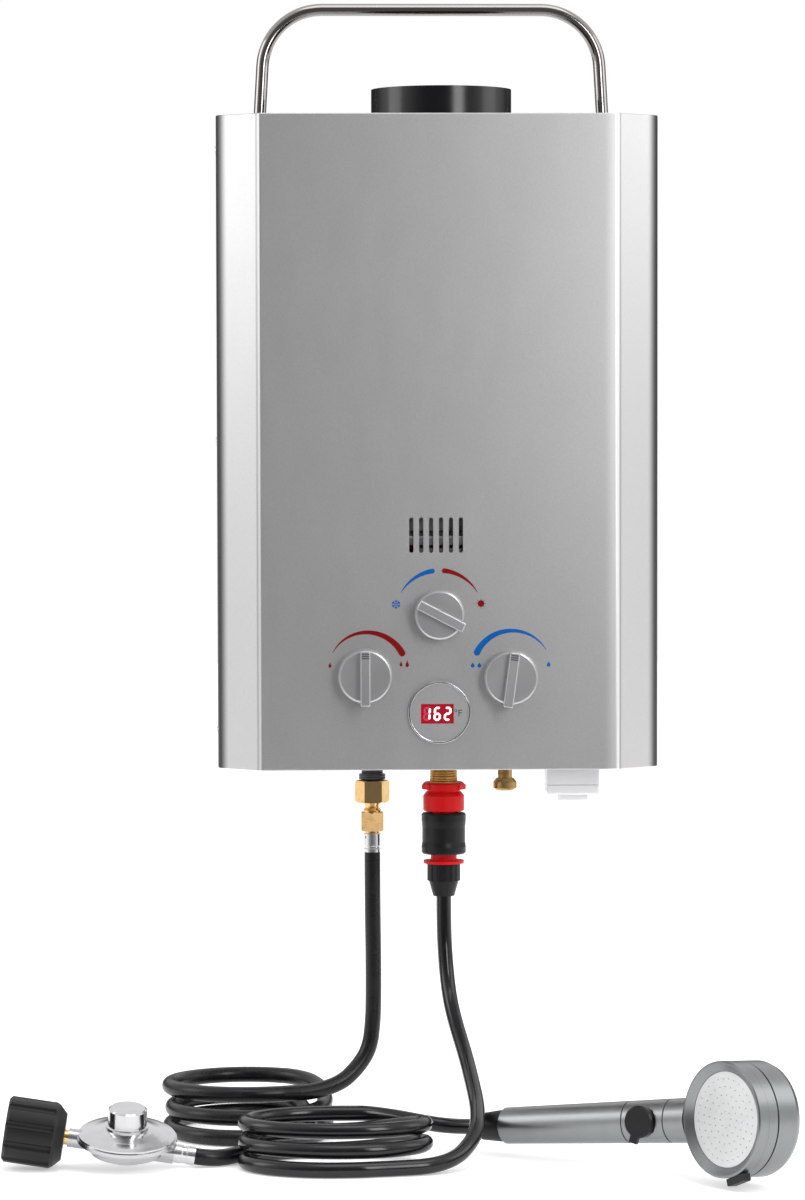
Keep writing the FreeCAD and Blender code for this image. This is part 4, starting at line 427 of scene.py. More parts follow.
class Look(Enum):
    """The finishes of the heater."""

    # edge and fold lay the painted highlight and painted shade lines of the cover's folds
    SILVER_PAINT = MetallicPaint("silver_stoving_paint", (0.47, 0.465, 0.465), 0.36, 0.03, 6.0, 700.0,
                                 0.00002, 0.25, edge=0.166, fold=0.1355)
    FACE_PAINT = MetallicPaint("display_face_paint", (0.50, 0.495, 0.50), 0.36, 0.02, 10.0, 900.0, 0.00002,
                               0.2)
    SILVER_PLASTIC = Moulded("silver_knob_plastic", (0.50, 0.50, 0.505), 0.30, 0.03, 30.0, 1500.0, 0.00001,
                             0.1, metallic=0.75)
    MARKER_GREY = Moulded("knob_marker_grey", (0.10, 0.10, 0.105), 0.45, 0.08, 60.0, 1400.0, 0.00001)
    ZINC_SHEET = PlatedSheet("zinc_plated_sheet", (0.52, 0.53, 0.54), 0.34)
    BLACK_ENAMEL = Moulded("black_gloss_enamel", (0.004, 0.004, 0.005), 0.20, 0.2, 30.0, 500.0,
                           0.00001, shine=0.45)
    POLISHED_STEEL = Metal("polished_stainless", (0.30, 0.285, 0.27), 0.11, 0.03, 20.0, 500.0, 0.0000008,
                           drawn=(0.05, 1.0, 1.0))
    CHROME_RING = Metal("chromed_ring", (0.50, 0.50, 0.51), 0.10, 0.02, 30.0, 200.0, 0.0000003)
    CRIMPED_STEEL = Metal("crimped_bright_steel", (0.62, 0.62, 0.63), 0.22, 0.06, 60.0, 900.0, 0.00001,
                          drawn=(1.0, 1.0, 0.1))
    DARK_STEEL = Metal("dark_grey_steel", (0.10, 0.10, 0.11), 0.34, 0.12, 60.0, 800.0, 0.00002, pitch=0.0016)
    COPPER = Metal("drawn_copper", (0.62, 0.27, 0.14), 0.26, 0.10, 30.0, 700.0, 0.00001,
                   drawn=(0.2, 0.2, 1.0), tarnish=(0.16, 0.06, 0.03), tarnished=0.6)
    BRASS = Metal("machined_brass", (0.76, 0.50, 0.22), 0.18, 0.05, 40.0, 900.0, 0.00001,
                  drawn=(1.0, 1.0, 0.06), tarnish=(0.22, 0.11, 0.04), tarnished=0.3)
    BRASS_THREAD = Metal("golden_brass_thread", (0.72, 0.42, 0.13), 0.28, 0.06, 40.0, 900.0, 0.00001,
                         tarnish=(0.22, 0.10, 0.03), tarnished=0.4, pitch=0.001814)
    AGED_BRASS = Metal("aged_brass", (0.42, 0.27, 0.10), 0.34, 0.14, 60.0, 800.0, 0.00002,
                       drawn=(1.0, 1.0, 0.1), tarnish=(0.10, 0.055, 0.02), tarnished=0.8)
    BRIGHT_CAST = CastMetal("bright_cast_zinc", (0.48, 0.48, 0.49), 0.24, 0.05, 40.0, 500.0, 0.00003)
    POLISHED_CAST = CastMetal("polished_cast_zinc", (0.56, 0.56, 0.57), 0.15, 0.04, 40.0, 500.0, 0.00001)
    ANODISED = CastMetal("dark_silver_anodised", (0.235, 0.245, 0.245), 0.30, 0.05, 40.0, 900.0, 0.000006)
    RED_PLASTIC = Moulded("red_moulded_plastic", (0.66, 0.004, 0.006), 0.40, 0.05, 40.0, 1100.0,
                          0.00001, shine=0.22)
    BLACK_PLASTIC = Moulded("black_moulded_plastic", (0.005, 0.005, 0.006), 0.36, 0.15, 40.0, 1100.0,
                            0.00002, shine=0.28)
    MATTE_BLACK = Moulded("matte_black_plastic", (0.007, 0.007, 0.008), 0.42, 0.15, 40.0, 900.0, 0.00002,
                          shine=0.30)
    WHITE_PLASTIC = Moulded("milky_white_plastic", (0.80, 0.80, 0.815), 0.30, 0.02, 40.0, 900.0, 0.00001, 0.2,
                            through=0.3)
    SPRAY_GREY = Moulded("frosted_spray_grey", (0.66, 0.67, 0.67), 0.34, 0.14, 26.0, 1600.0,
                         0.00001, metallic=0.8)
    BLACK_RUBBER = HoseSkin("black_foot_rubber", (0.02, 0.02, 0.02), 0.6, 0.15, 40.0, 900.0, 0.00003)
    GAS_HOSE = HoseSkin("black_gas_hose_rubber", (0.008, 0.008, 0.009), 0.27, 0.2, 40.0, 800.0, 0.00003,
                        shine=0.28, dust=0.05)
    SHOWER_HOSE = HoseSkin("black_gloss_vinyl", (0.006, 0.006, 0.007), 0.15, 0.2, 40.0, 700.0, 0.00002,
                           shine=0.40, dust=0.03)
    CERAMIC = Moulded("white_ceramic", (0.82, 0.80, 0.74), 0.5, 0.03, 40.0, 900.0, 0.00003, through=0.1)
    CELL_JACKET = Metal("cell_jacket", (0.30, 0.30, 0.33), 0.3, 0.05, 30.0, 800.0, 0.00001,
                        drawn=(1.0, 1.0, 0.1))
    # painted glow: the window itself gives no light
    WINDOW_RED = Glow("display_window_red", (0.12, 0.002, 0.006), 0.3, 0.2, 200.0, 900.0, 0.00001, shine=0.2,
                      lit=(0.40, 0.004, 0.018), power=0.75)
    DIGIT_LIT = Glow("digit_lit", (0.9, 0.75, 0.78), 0.3, 0.02, 200.0, 900.0, 0.00001,
                     lit=(1.0, 0.80, 0.84), power=1.5)
    # painted glow: the unlit segments give no light
    DIGIT_UNLIT = Glow("digit_unlit", (0.30, 0.02, 0.05), 0.3, 0.05, 200.0, 900.0, 0.00001, shine=0.2,
                       lit=(0.62, 0.06, 0.13), power=0.65)
    INK_RED = Ink("red_ink", (0.22, 0.001, 0.004), 0.45, 0.05, 40.0, 2400.0, 0.000004, shine=0.15)
    INK_BLUE = Ink("blue_ink", (0.0, 0.11, 0.42), 0.45, 0.05, 40.0, 2400.0, 0.000004, shine=0.15)
    # used for the printed unit and for the painted shade in the ferrule's dimple
    INK_DARK = Ink("dark_ink_and_painted_shade", (0.02, 0.02, 0.022), 0.42, 0.05, 40.0, 2400.0, 0.00001)

    def material(self) -> bpy.types.Material:
        """The look's material, built once."""
        return bpy.data.materials.get(self.value.name) or self.value.material()


NODE_LOOKS = {
    Look.SILVER_PAINT: ("front_cover",),
    Look.FACE_PAINT: ("display_face",),
    Look.SILVER_PLASTIC: ("gas_knob", "water_knob", "mode_knob"),
    Look.ZINC_SHEET: ("rear_panel", "wall_bracket", "handle_brackets", "exhaust_hood", "combustion_shell",
                      "burner_bars", "burner_frame"),
    Look.BLACK_ENAMEL: ("flue_collar",),
    Look.POLISHED_STEEL: ("carry_handle",),
    Look.CHROME_RING: ("display_bezel",),
    Look.CRIMPED_STEEL: ("case_screws", "gas_hose_ferrules"),
    Look.DARK_STEEL: ("gas_inlet_nipple",),
    Look.COPPER: ("exchanger_fins", "exchanger_tube", "hot_pipe"),
    Look.BRASS: ("flare_nut", "hose_union", "tank_nipple", "cold_pipe", "water_valve_body", "gas_valve_stem",
                 "water_valve_stem", "mode_valve_stem"),
    Look.BRASS_THREAD: ("outlet_nipple",),
    Look.AGED_BRASS: ("drain_plug",),
    Look.BRIGHT_CAST: ("regulator_body", "gas_manifold", "gas_valve_body"),
    Look.POLISHED_CAST: ("regulator_bonnet",),
    Look.ANODISED: ("handset_handle", "head_body", "spray_ring"),
    Look.RED_PLASTIC: ("tap_adapter", "connector_body"),
    Look.BLACK_PLASTIC: ("connector_sleeve", "hose_nut", "stop_knob"),
    Look.MATTE_BLACK: ("tank_nut", "handset_nut", "mode_lever", "solenoid_valve", "igniter_box",
                       "overheat_sensor"),
    Look.WHITE_PLASTIC: ("battery_box", "battery_lid"),
    Look.SPRAY_GREY: ("spray_plate",),
    Look.BLACK_RUBBER: ("rubber_feet",),
    Look.GAS_HOSE: ("gas_hose_runs", "gas_hose_coil"),
    Look.SHOWER_HOSE: ("shower_hose_runs", "shower_hose_coil"),
    Look.CERAMIC: ("ignition_pins",),
    Look.CELL_JACKET: ("battery_cells",),
    Look.WINDOW_RED: ("display_module",),
}


def dress_nodes(nodes: dict) -> int:
    """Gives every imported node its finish.

    Args:
        nodes: the frame's mesh objects by name.
    Returns:
        How many nodes were dressed.
    """
    dressed = 0
    for look, names in NODE_LOOKS.items():
        for name in names:
            mesh = nodes[name].data
            mesh.materials.clear()
            mesh.materials.append(look.material())
            dressed += 1
    return dressed


@dataclass
class Plane:
    """A flat drawing surface: where its middle is, its right, its up and the way it faces."""

    origin: Vector
    right: Vector
    up: Vector

    def out(self) -> Vector:
        """The way the surface faces."""
        return self.right.cross(self.up).normalized()

    def slab(self, outlines: list[Outline], thick: float = PRINT_THICK,
             lift: float = PRINT_LIFT) -> bpy.types.Mesh:
        """Thin raised shapes on the surface.

        Args:
            outlines: closed shapes as points right and up of the middle, in millimetres, anticlockwise.
            thick: their thickness in metres.
            lift: height of their underside over the surface in metres.
        Returns:
            One mesh with all of the shapes.
        """
        points: list[Vector] = []
        faces: list[list[int]] = []
        for outline in outlines:
            first = len(points)
            count = len(outline)
            for height in (lift, lift + thick):
                for x, y in outline:
                    flat = self.origin + self.right * (x * MM) + self.up * (y * MM)
                    points.append(flat + self.out() * height)
            faces.append([first + k for k in reversed(range(count))])
            faces.append([first + count + k for k in range(count)])
            for k in range(count):
                after = (k + 1) % count
                faces.append([first + k, first + after, first + count + after, first + count + k])
        mesh = bpy.data.meshes.new("slab")
        mesh.from_pydata(points, [], faces)
        mesh.update()
        return mesh


def panel_plane(x: float, z: float, y: float = PANEL_Y) -> Plane:
    """A surface parallel to the front panel, its middle given in metres."""
    return Plane(Vector((x, y, z)), Vector((1, 0, 0)), Vector((0, 0, 1)))


def add_piece(name: str, data: bpy.types.ID, look: Look, body: str = "heater") -> bpy.types.Object:
    """Puts a mesh or curve in the scene and lets it ride on a body.

    Args:
        name: the piece's name.
        data: its mesh, curve or text.
        look: its finish.
        body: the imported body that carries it.
    Returns:
        The new object.
    """
    piece = bpy.data.objects.new(name, data)
    data.name = name
    data.materials.append(look.material())
    bpy.context.scene.collection.objects.link(piece)
    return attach(piece, body)


def smooth_share(value: float) -> float:
    """An even start and an even stop between 0 and 1."""
    value = max(0.0, min(1.0, value))
    return value * value * (3.0 - 2.0 * value)


@dataclass
class Loops:
    """Loose loops of hose lying on each other. Each row of shapes is a travel in degrees, the oval's middle
    and its two half widths in millimetres; each climb lifts the hose by one layer."""

    radius: float
    start: float
    sense: int
    climbs: tuple
    shapes: tuple
    layer_gap: float = 0.6
    swell: float = 1.0

    def value(self, travel: float, column: int) -> float:
        """One column of the shape rows, eased between them."""
        result = self.shapes[0][column]
        for before, after in zip(self.shapes[:-1], self.shapes[1:]):
            share = smooth_share((travel - before[0]) / (after[0] - before[0]))
            result += (after[column] - before[column]) * share
        return result

    def spot(self, travel: float, swell: float = 1.0) -> Vector:
        """A point on the hose's line in millimetres, heights over the floor.

        Args:
            travel: degrees from the start of the first loop.
            swell: factor on the half widths, above 1 for a spline's outer control points.
        Returns:
            The point.
        """
        angle = math.radians(self.start + self.sense * travel)
        layers = sum(smooth_share((travel - first) / (last - first)) for first, last in self.climbs)
        height = self.radius + layers * (2.0 * self.radius + self.layer_gap)
        return Vector((self.value(travel, 1) + swell * self.value(travel, 3) * math.cos(angle),
                       self.value(travel, 2) + swell * self.value(travel, 4) * math.sin(angle), height))

    def heading(self, travel: float) -> Vector:
        """The way the hose runs there."""
        return (self.spot(travel + 0.05) - self.spot(travel - 0.05)).normalized()

    def before(self, first: float, reach: float) -> Vector:
        """A point on the straight run into the loops, short of their first stub by a reach."""
        return self.spot(first) - self.heading(first) * (2.0 * self.radius + reach)

    def after(self, last: float, reach: float) -> Vector:
        """A point on the straight run out of the loops, past their last stub by a reach."""
        return self.spot(last) + self.heading(last) * (2.0 * self.radius + reach)

    def turns(self, first: float, last: float, spacing: float) -> list[Vector]:
        """The spline's control points along the loops.

        Args:
            first: travel of the first point.
            last: travel of the last point.
            spacing: degrees between points.
        Returns:
            The points in order.
        """
        count = round((last - first) / spacing)
        return [self.spot(first + (last - first) * k / count, self.swell) for k in range(count + 1)]


def over_floor(point: Vector) -> Vector:
    """A point given in millimetres, with its height over the floor, as metres in the frame."""
    return Vector((point[0] * MM, point[1] * MM, point[2] * MM + FLOOR_Z))


def hose_curve(points: list[Vector], radius: float) -> bpy.types.Curve:
    """A round hose on one smooth spline.

    Args:
        points: control points in millimetres with heights over the floor.
        radius: the hose's radius in metres.
    Returns:
        The curve.
    """
    curve = bpy.data.curves.new("hose", "CURVE")
    curve.dimensions = "3D"
    curve.resolution_u = 10
    curve.bevel_depth = radius
    curve.bevel_resolution = 6
    curve.use_fill_caps = True
    spline = curve.splines.new("NURBS")
    spline.points.add(len(points) - 1)
    for knot, point in zip(spline.points, points):
        knot.co = (*over_floor(point), 1.0)
    spline.order_u = 3
    spline.use_endpoint_u = True
    return curve


@dataclass
class GasHose:
    """The gas hose: from the union under the casing, down into nearly three loops and on to the regulator."""

    radius: float = 0.00615
    length: float = 1.48
    exit: tuple = (-48.6, -79.0, 213.4)
    regulator: tuple = (-182.4, -250.0, 8.2)
    regulator_axis: tuple = (-0.98817, 0.0, 0.15340)
    hang: tuple = ((-48.6, -79, 175), (-48, -79, 135), (-48, -79.4, 105), (-48.4, -79.8, 84), (-51, -82, 62),
                   (-61, -87, 47.5), (-73.5, -93.5, 37))
    tail: tuple = ((-94, -146.5), (-108, -168), (-125.5, -190), (-141.5, -212.6), (-149.3, -228.5),
                   (-155.5, -238), (-164, -246))
    tail_height: float = 6.2
    loops: Loops = field(default_factory=lambda: Loops(
        6.15, 0.0, 1, ((350.0, 400.0), (700.0, 765.0)),
        ((0.0, -144.7, -97.0, 59.0, 66.0), (230.0, -144.7, -97.0, 59.0, 66.0),
         (330.0, -144.7, -92.0, 45.5, 62.0), (415.0, -144.5, -91.0, 45.0, 54.0),
         (500.0, -144.0, -88.0, 58.0, 58.0), (640.0, -144.0, -88.0, 58.0, 58.0),
         (820.0, -145.0, -64.0, 60.0, 52.0)), swell=SPLINE_SWELL))
    last_travel: float = 1012.0

    def build(self) -> bpy.types.Object:
        """The hose on its spline.

        Returns:
            The hose.
        """
        start = Vector(self.regulator)
        loops = self.loops
        points = [Vector(spot) for spot in (self.exit, *self.hang)]
        points += [loops.after(self.last_travel, 18.0), loops.after(self.last_travel, 0.0)]
        points += reversed(loops.turns(0.0, self.last_travel, LOOP_SPACING))
        points += [loops.before(0.0, 0.0), loops.before(0.0, 17.0)]
        points += [Vector((x, y, self.tail_height)) for x, y in self.tail]
        points += [start - Vector(self.regulator_axis) * 8.0, start]
        hose = add_piece("gas_hose", hose_curve(points, self.radius), Look.GAS_HOSE)
        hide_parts("gas_hose_runs", "gas_hose_coil")
        tuple(over_floor(points[0]))
        return hose


@dataclass
class ShowerHose:
    """The shower hose: from the hose nut, over its loops and up to the hand shower."""

    radius: float = 0.00575
    length: float = 1.356
    exit: tuple = (6.2, -79.0, 179.4)
    hang: tuple = ((6.2, -79, 155), (7.2, -82.5, 131.6), (8.9, -91, 111), (11.1, -102, 96.3),
                   (14.7, -117, 82.3), (20.1, -143, 64.7), (23.2, -172, 51.6), (25.7, -200, 39.5),
                   (25.7, -222, 32.5), (24.1, -243, 25.6), (19.6, -257, 18.7), (8.4, -275, 10),
                   (-10, -288.5, 6.2))
    rise: tuple = ((-36, -189.5, 26.5), (-17, -184.5, 22), (1, -183, 18.5))
    loops: Loops = field(default_factory=lambda: Loops(
        5.75, 285.0, -1, ((195.0, 285.0), (555.0, 645.0)),
        ((180.0, -79.7, -256.0, 65.7, 44.0), (540.0, -79.7, -243.0, 65.7, 42.0),
         (900.0, -79.7, -232.0, 66.0, 38.0)), swell=SPLINE_SWELL))
    last_travel: float = 915.0

    def build(self) -> bpy.types.Object:
        """The hose on its spline.

        Returns:
            The hose.
        """
        end = Vector(HAND_SHOWER_AT)
        loops = self.loops
        points = [Vector(spot) for spot in (self.exit, *self.hang)]
        points += [loops.before(0.0, 14.0), loops.before(0.0, 0.0)]
        points += loops.turns(0.0, self.last_travel, LOOP_SPACING)
        points += [loops.after(self.last_travel, 0.0), loops.after(self.last_travel, 12.0)]
        points += [Vector(spot) for spot in self.rise]
        points += [end - Vector(HAND_SHOWER_AXIS) * 15.0, end]
        hose = add_piece("shower_hose", hose_curve(points, self.radius), Look.SHOWER_HOSE)
        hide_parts("shower_hose_runs", "shower_hose_coil")
        tuple(over_floor(points[0]))
        return hose


@dataclass
class DialArc:
    """A printed arc beside a knob that grows from a point to a blunt round end."""

    name: str
    centre: tuple
    look: Look
    angles: tuple
    radii: tuple
    widths: tuple
    steps: int = 36

    def outline(self) -> Outline:
        """The arc's edge in millimetres about its centre.

        Returns:
            The points, anticlockwise.
        """
        outer: Outline = []
        inner: Outline = []
        for k in range(self.steps + 1):
            share = k / self.steps
            angle = math.radians(self.angles[0] + (self.angles[1] - self.angles[0]) * share)
            low, middle, high = self.radii
            radius = low * (1 - share) * (1 - 2 * share) + high * share * (2 * share - 1)
            radius += middle * 4 * share * (1 - share)
            half = 0.5 * (self.widths[0] + (self.widths[1] - self.widths[0]) * share ** 0.85)
            outer.append(((radius + half) * math.cos(angle), (radius + half) * math.sin(angle)))
            inner.append(((radius - half) * math.cos(angle), (radius - half) * math.sin(angle)))
        cap: Outline = []
        first = Vector(inner[-1])
        last = Vector(outer[-1])
        middle_point = (first + last) / 2
        arm = last - middle_point
        turning = 1 if self.angles[1] > self.angles[0] else -1
        for k in range(1, 8):
            cap.append(tuple(middle_point + Matrix.Rotation(turning * math.pi * k / 8, 2) @ arm))
        ring = outer + cap + inner[::-1]
        return ring if turning > 0 else ring[::-1]

    def build(self) -> bpy.types.Object:
        """The printed arc on the casing."""
        plane = panel_plane(self.centre[0] * MM, self.centre[1] * MM)
        data = plane.slab([self.outline()])
        return add_piece(self.name, data, self.look)


@dataclass
class PanelMarks:
    """The printed signs beside the dials: flames, drops, a snowflake and a sun."""

    flame: tuple = ((0.0, -2.2), (0.75, -1.9), (1.1, -1.1), (0.95, -0.2), (0.5, 0.7), (0.15, 2.3),
                    (-0.3, 1.1), (-0.85, 0.1), (-1.1, -0.9), (-0.8, -1.8))
    drop: tuple = ((0.0, -1.9), (0.9, -1.6), (1.45, -0.8), (1.3, 0.1), (0.7, 1.0), (0.0, 2.0), (-0.7, 1.0),
                   (-1.3, 0.1), (-1.45, -0.8), (-0.9, -1.6))
    flames: tuple = ((-81.8, -355.9, 1.0), (-28.7, -355.1, 1.0), (-24.1, -355.1, 1.2))
    drops: tuple = ((24.9, -356.4, 1.0), (29.9, -356.4, 1.0), (81.7, -355.9, 1.0))
    snowflake: tuple = (-32.3, -310.7)
    sun: tuple = (31.2, -310.3)
    arm_length: float = 3.5
    arm_half: float = 0.34
    branch_at: float = 1.8
    sun_radius: float = 2.5

    def signs(self, name: str, shape: tuple, places: tuple, look: Look) -> bpy.types.Object:
        """The same small sign printed at several places.

        Args:
            name: the piece's name.
            shape: its outline in millimetres.
            places: x, z and scale of each copy.
            look: its ink.
        Returns:
            The piece.
        """
        outlines = [[(x + scale * px, z + scale * pz) for px, pz in shape] for x, z, scale in places]
        return add_piece(name, panel_plane(0, 0).slab(outlines), look)

    def bar(self, centre: tuple, angle: float, start: float, end: float, half: float) -> Outline:
        """A straight bar drawn out from a centre.

        Args:
            centre: x and z of the centre.
            angle: the bar's direction in degrees.
            start: distance of its near end.
            end: distance of its far end.
            half: half its width.
        Returns:
            Its outline, anticlockwise.
        """
        along = Vector((math.cos(math.radians(angle)), math.sin(math.radians(angle))))
        side = Vector((-along.y, along.x)) * half
        middle = Vector(centre)
        corners = (middle + along * start - side, middle + along * end - side, middle + along * end + side,
                   middle + along * start + side)
        return [tuple(corner) for corner in corners]

    def snow(self) -> bpy.types.Object:
        """Six arms, each with two short branches."""
        outlines = []
        for k in range(6):
            angle = 30.0 + 60.0 * k
            outlines.append(self.bar(self.snowflake, angle, 0.5, self.arm_length, self.arm_half))
            way = Vector((math.cos(math.radians(angle)), math.sin(math.radians(angle))))
            tip = Vector(self.snowflake) + way * self.branch_at
            for lean in (-48.0, 48.0):
                outlines.append(self.bar(tuple(tip), angle + lean, 0.25, 1.5, self.arm_half * 0.85))
        data = panel_plane(0, 0).slab(outlines)
        return add_piece("snowflake_mark", data, Look.INK_BLUE)

    def sunshine(self) -> bpy.types.Object:
        """A round dot with short rays."""
        x, z = self.sun
        radius = self.sun_radius
        disc = [(x + radius * math.cos(k * math.pi / 18), z + radius * math.sin(k * math.pi / 18))
                for k in range(36)]
        rays = [self.bar(self.sun, 45.0 * k, radius + 0.35, radius + 1.2, 0.22) for k in range(8)]
        data = panel_plane(0, 0).slab([disc, *rays])
        return add_piece("sun_mark", data, Look.INK_RED)

    def build(self) -> list[bpy.types.Object]:
        """All of the signs."""
        return [self.signs("flame_marks", self.flame, self.flames, Look.INK_RED),
                self.signs("drop_marks", self.drop, self.drops, Look.INK_BLUE), self.snow(), self.sunshine()]


@dataclass
class Display:
    """The temperature display: three seven-segment digits behind the window, and its unit."""

    reading: str = "162"
    window_x: float = -1.6
    window_z: float = -392.7
    glass_y: float = -0.1650
    face_y: float = -0.1652
    digit_w: float = 5.4
    digit_h: float = 10.4
    stroke: float = 1.55
    pitch: float = 7.7
    lean: float = 0.06
    unit_x: float = 13.9
    unit_z: float = -394.6
    unit_size: float = 7.2

    SEGMENTS = {"a": (0, 1, 1, 1), "b": (1, 0.5, 1, 1), "c": (1, 0, 1, 0.5), "d": (0, 0, 1, 0),
                "e": (0, 0, 0, 0.5), "f": (0, 0.5, 0, 1), "g": (0, 0.5, 1, 0.5)}
    LIT = {"1": "bc", "6": "acdefg", "2": "abged"}

    def segment(self, name: str, left: float) -> Outline:
        """One bar of a digit with pointed ends.

        Args:
            name: the segment's letter.
            left: the digit's left edge in millimetres.
        Returns:
            Its outline, anticlockwise.
        """
        x0, y0, x1, y1 = self.SEGMENTS[name]
        half = self.stroke / 2
        wide = self.digit_w - self.stroke
        tall = self.digit_h - self.stroke
        a = Vector((x0 * wide, y0 * tall))
        b = Vector((x1 * wide, y1 * tall))
        along = (b - a).normalized()
        side = Vector((-along.y, along.x)) * half
        gap = 0.12
        start = a + along * gap
        end = b - along * gap
        corners = (start, start + along * half - side, end - along * half - side, end,
                   end - along * half + side, start + along * half + side)
        bottom = self.window_z - self.digit_h / 2 + half
        return [(left + half + p.x + self.lean * p.y, bottom + p.y) for p in corners]

    def build(self) -> list[bpy.types.Object]:
        """The lit and unlit segments and the unit.

        Returns:
            The pieces.
        """
        lit: list[Outline] = []
        unlit: list[Outline] = []
        for k, digit in enumerate(self.reading):
            left = self.window_x + (k - 1) * self.pitch - self.digit_w / 2 - 0.3
            for name in self.SEGMENTS:
                if name in self.LIT[digit]:
                    lit.append(self.segment(name, left))
                elif k == 0:
                    unlit.append(self.segment(name, left))
        plane = panel_plane(0, 0, self.glass_y)
        shown = plane.slab(lit)
        idle = plane.slab(unlit, PRINT_THICK / 2)
        pieces = [add_piece("digits_lit", shown, Look.DIGIT_LIT), add_piece("digits_unlit", idle, Look.DIGIT_UNLIT)]
        text = bpy.data.curves.new("unit", "FONT")
        text.body = "°F"
        text.size = self.unit_size * MM
        text.align_x = "CENTER"
        text.extrude = 0.00003
        unit = bpy.data.objects.new("unit_mark", text)
        text.materials.append(Look.INK_DARK.material())
        unit.location = (self.unit_x * MM, self.face_y - 0.00005, self.unit_z * MM)
        unit.rotation_euler = (math.pi / 2, 0.0, 0.0)
        bpy.context.scene.collection.objects.link(unit)
        pieces.append(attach(unit, "heater"))
        return pieces


@dataclass
class KnobMarker:
    """The small ribbed marker at the top of a knob's grip bar."""

    name: str
    body: str
    centre: tuple
    turn: float
    front_y: float = -0.183
    width: float = 5.6
    bottom: float = 13.6
    height: float = 4.8
    ribs: int = 3
    thick: float = 0.00022

    def build(self) -> bpy.types.Object:
        """A thin plate with raised horizontal ribs."""
        angle = math.radians(self.turn)
        right = Vector((math.cos(angle), 0, -math.sin(angle)))
        up = Vector((math.sin(angle), 0, math.cos(angle)))
        plane = Plane(Vector((self.centre[0] * MM, self.front_y, self.centre[1] * MM)), right, up)
        half = self.width / 2
        pitch = self.height / self.ribs
        outlines = []
        for k in range(self.ribs):
            low = self.bottom + k * pitch
            high = low + pitch * 0.66
            outlines.append([(-half, low), (half, low), (half, high), (-half, high)])
        return add_piece(self.name, plane.slab(outlines, self.thick, 0.0), Look.MARKER_GREY, self.body)


@dataclass
class SmallTrim:
    """The dark sleeve of the hand shower's neck, and a dark dot of painted shade in the dimple crimped into the
    upper ferrule.
    """

    neck: tuple = (181.1, 185.8)
    neck_radius: float = 10.9
    dimple_at: tuple = (-53.3, -83.0, -493.1)
    dimple_way: tuple = (-0.68, -0.73, 0.0)
    dimple_radius: float = 0.9

    def rod(self, name: str, start: Vector, end: Vector, radius: float, look: Look) -> bpy.types.Object:
        """A straight round rod.

        Args:
            name: the piece's name.
            start: its near end in metres.
            end: its far end.
            radius: its radius in millimetres.
            look: its finish.
        Returns:
            The piece.
        """
        curve = bpy.data.curves.new(name, "CURVE")
        curve.dimensions = "3D"
        curve.bevel_depth = radius * MM
        curve.bevel_resolution = 6
        curve.use_fill_caps = True
        line = curve.splines.new("POLY")
        line.points.add(1)
        for knot, point in zip(line.points, (start, end)):
            knot.co = (*point, 1.0)
        return add_piece(name, curve, look)

    def build(self) -> list[bpy.types.Object]:
        """The neck sleeve and the painted shade of the dimple."""
        along = Vector(HAND_SHOWER_AXIS)
        ends = [over_floor(Vector(HAND_SHOWER_AT) + along * at) for at in self.neck]
        seat = Vector(self.dimple_at) * MM
        sunk = seat + Vector(self.dimple_way) * (0.3 * MM)
        # the dark dot in the dimple is painted shade
        return [self.rod("handset_neck_sleeve", ends[0], ends[1], self.neck_radius, Look.BLACK_PLASTIC),
                self.rod("ferrule_dimple_shade", seat, sunk, self.dimple_radius, Look.INK_DARK)]


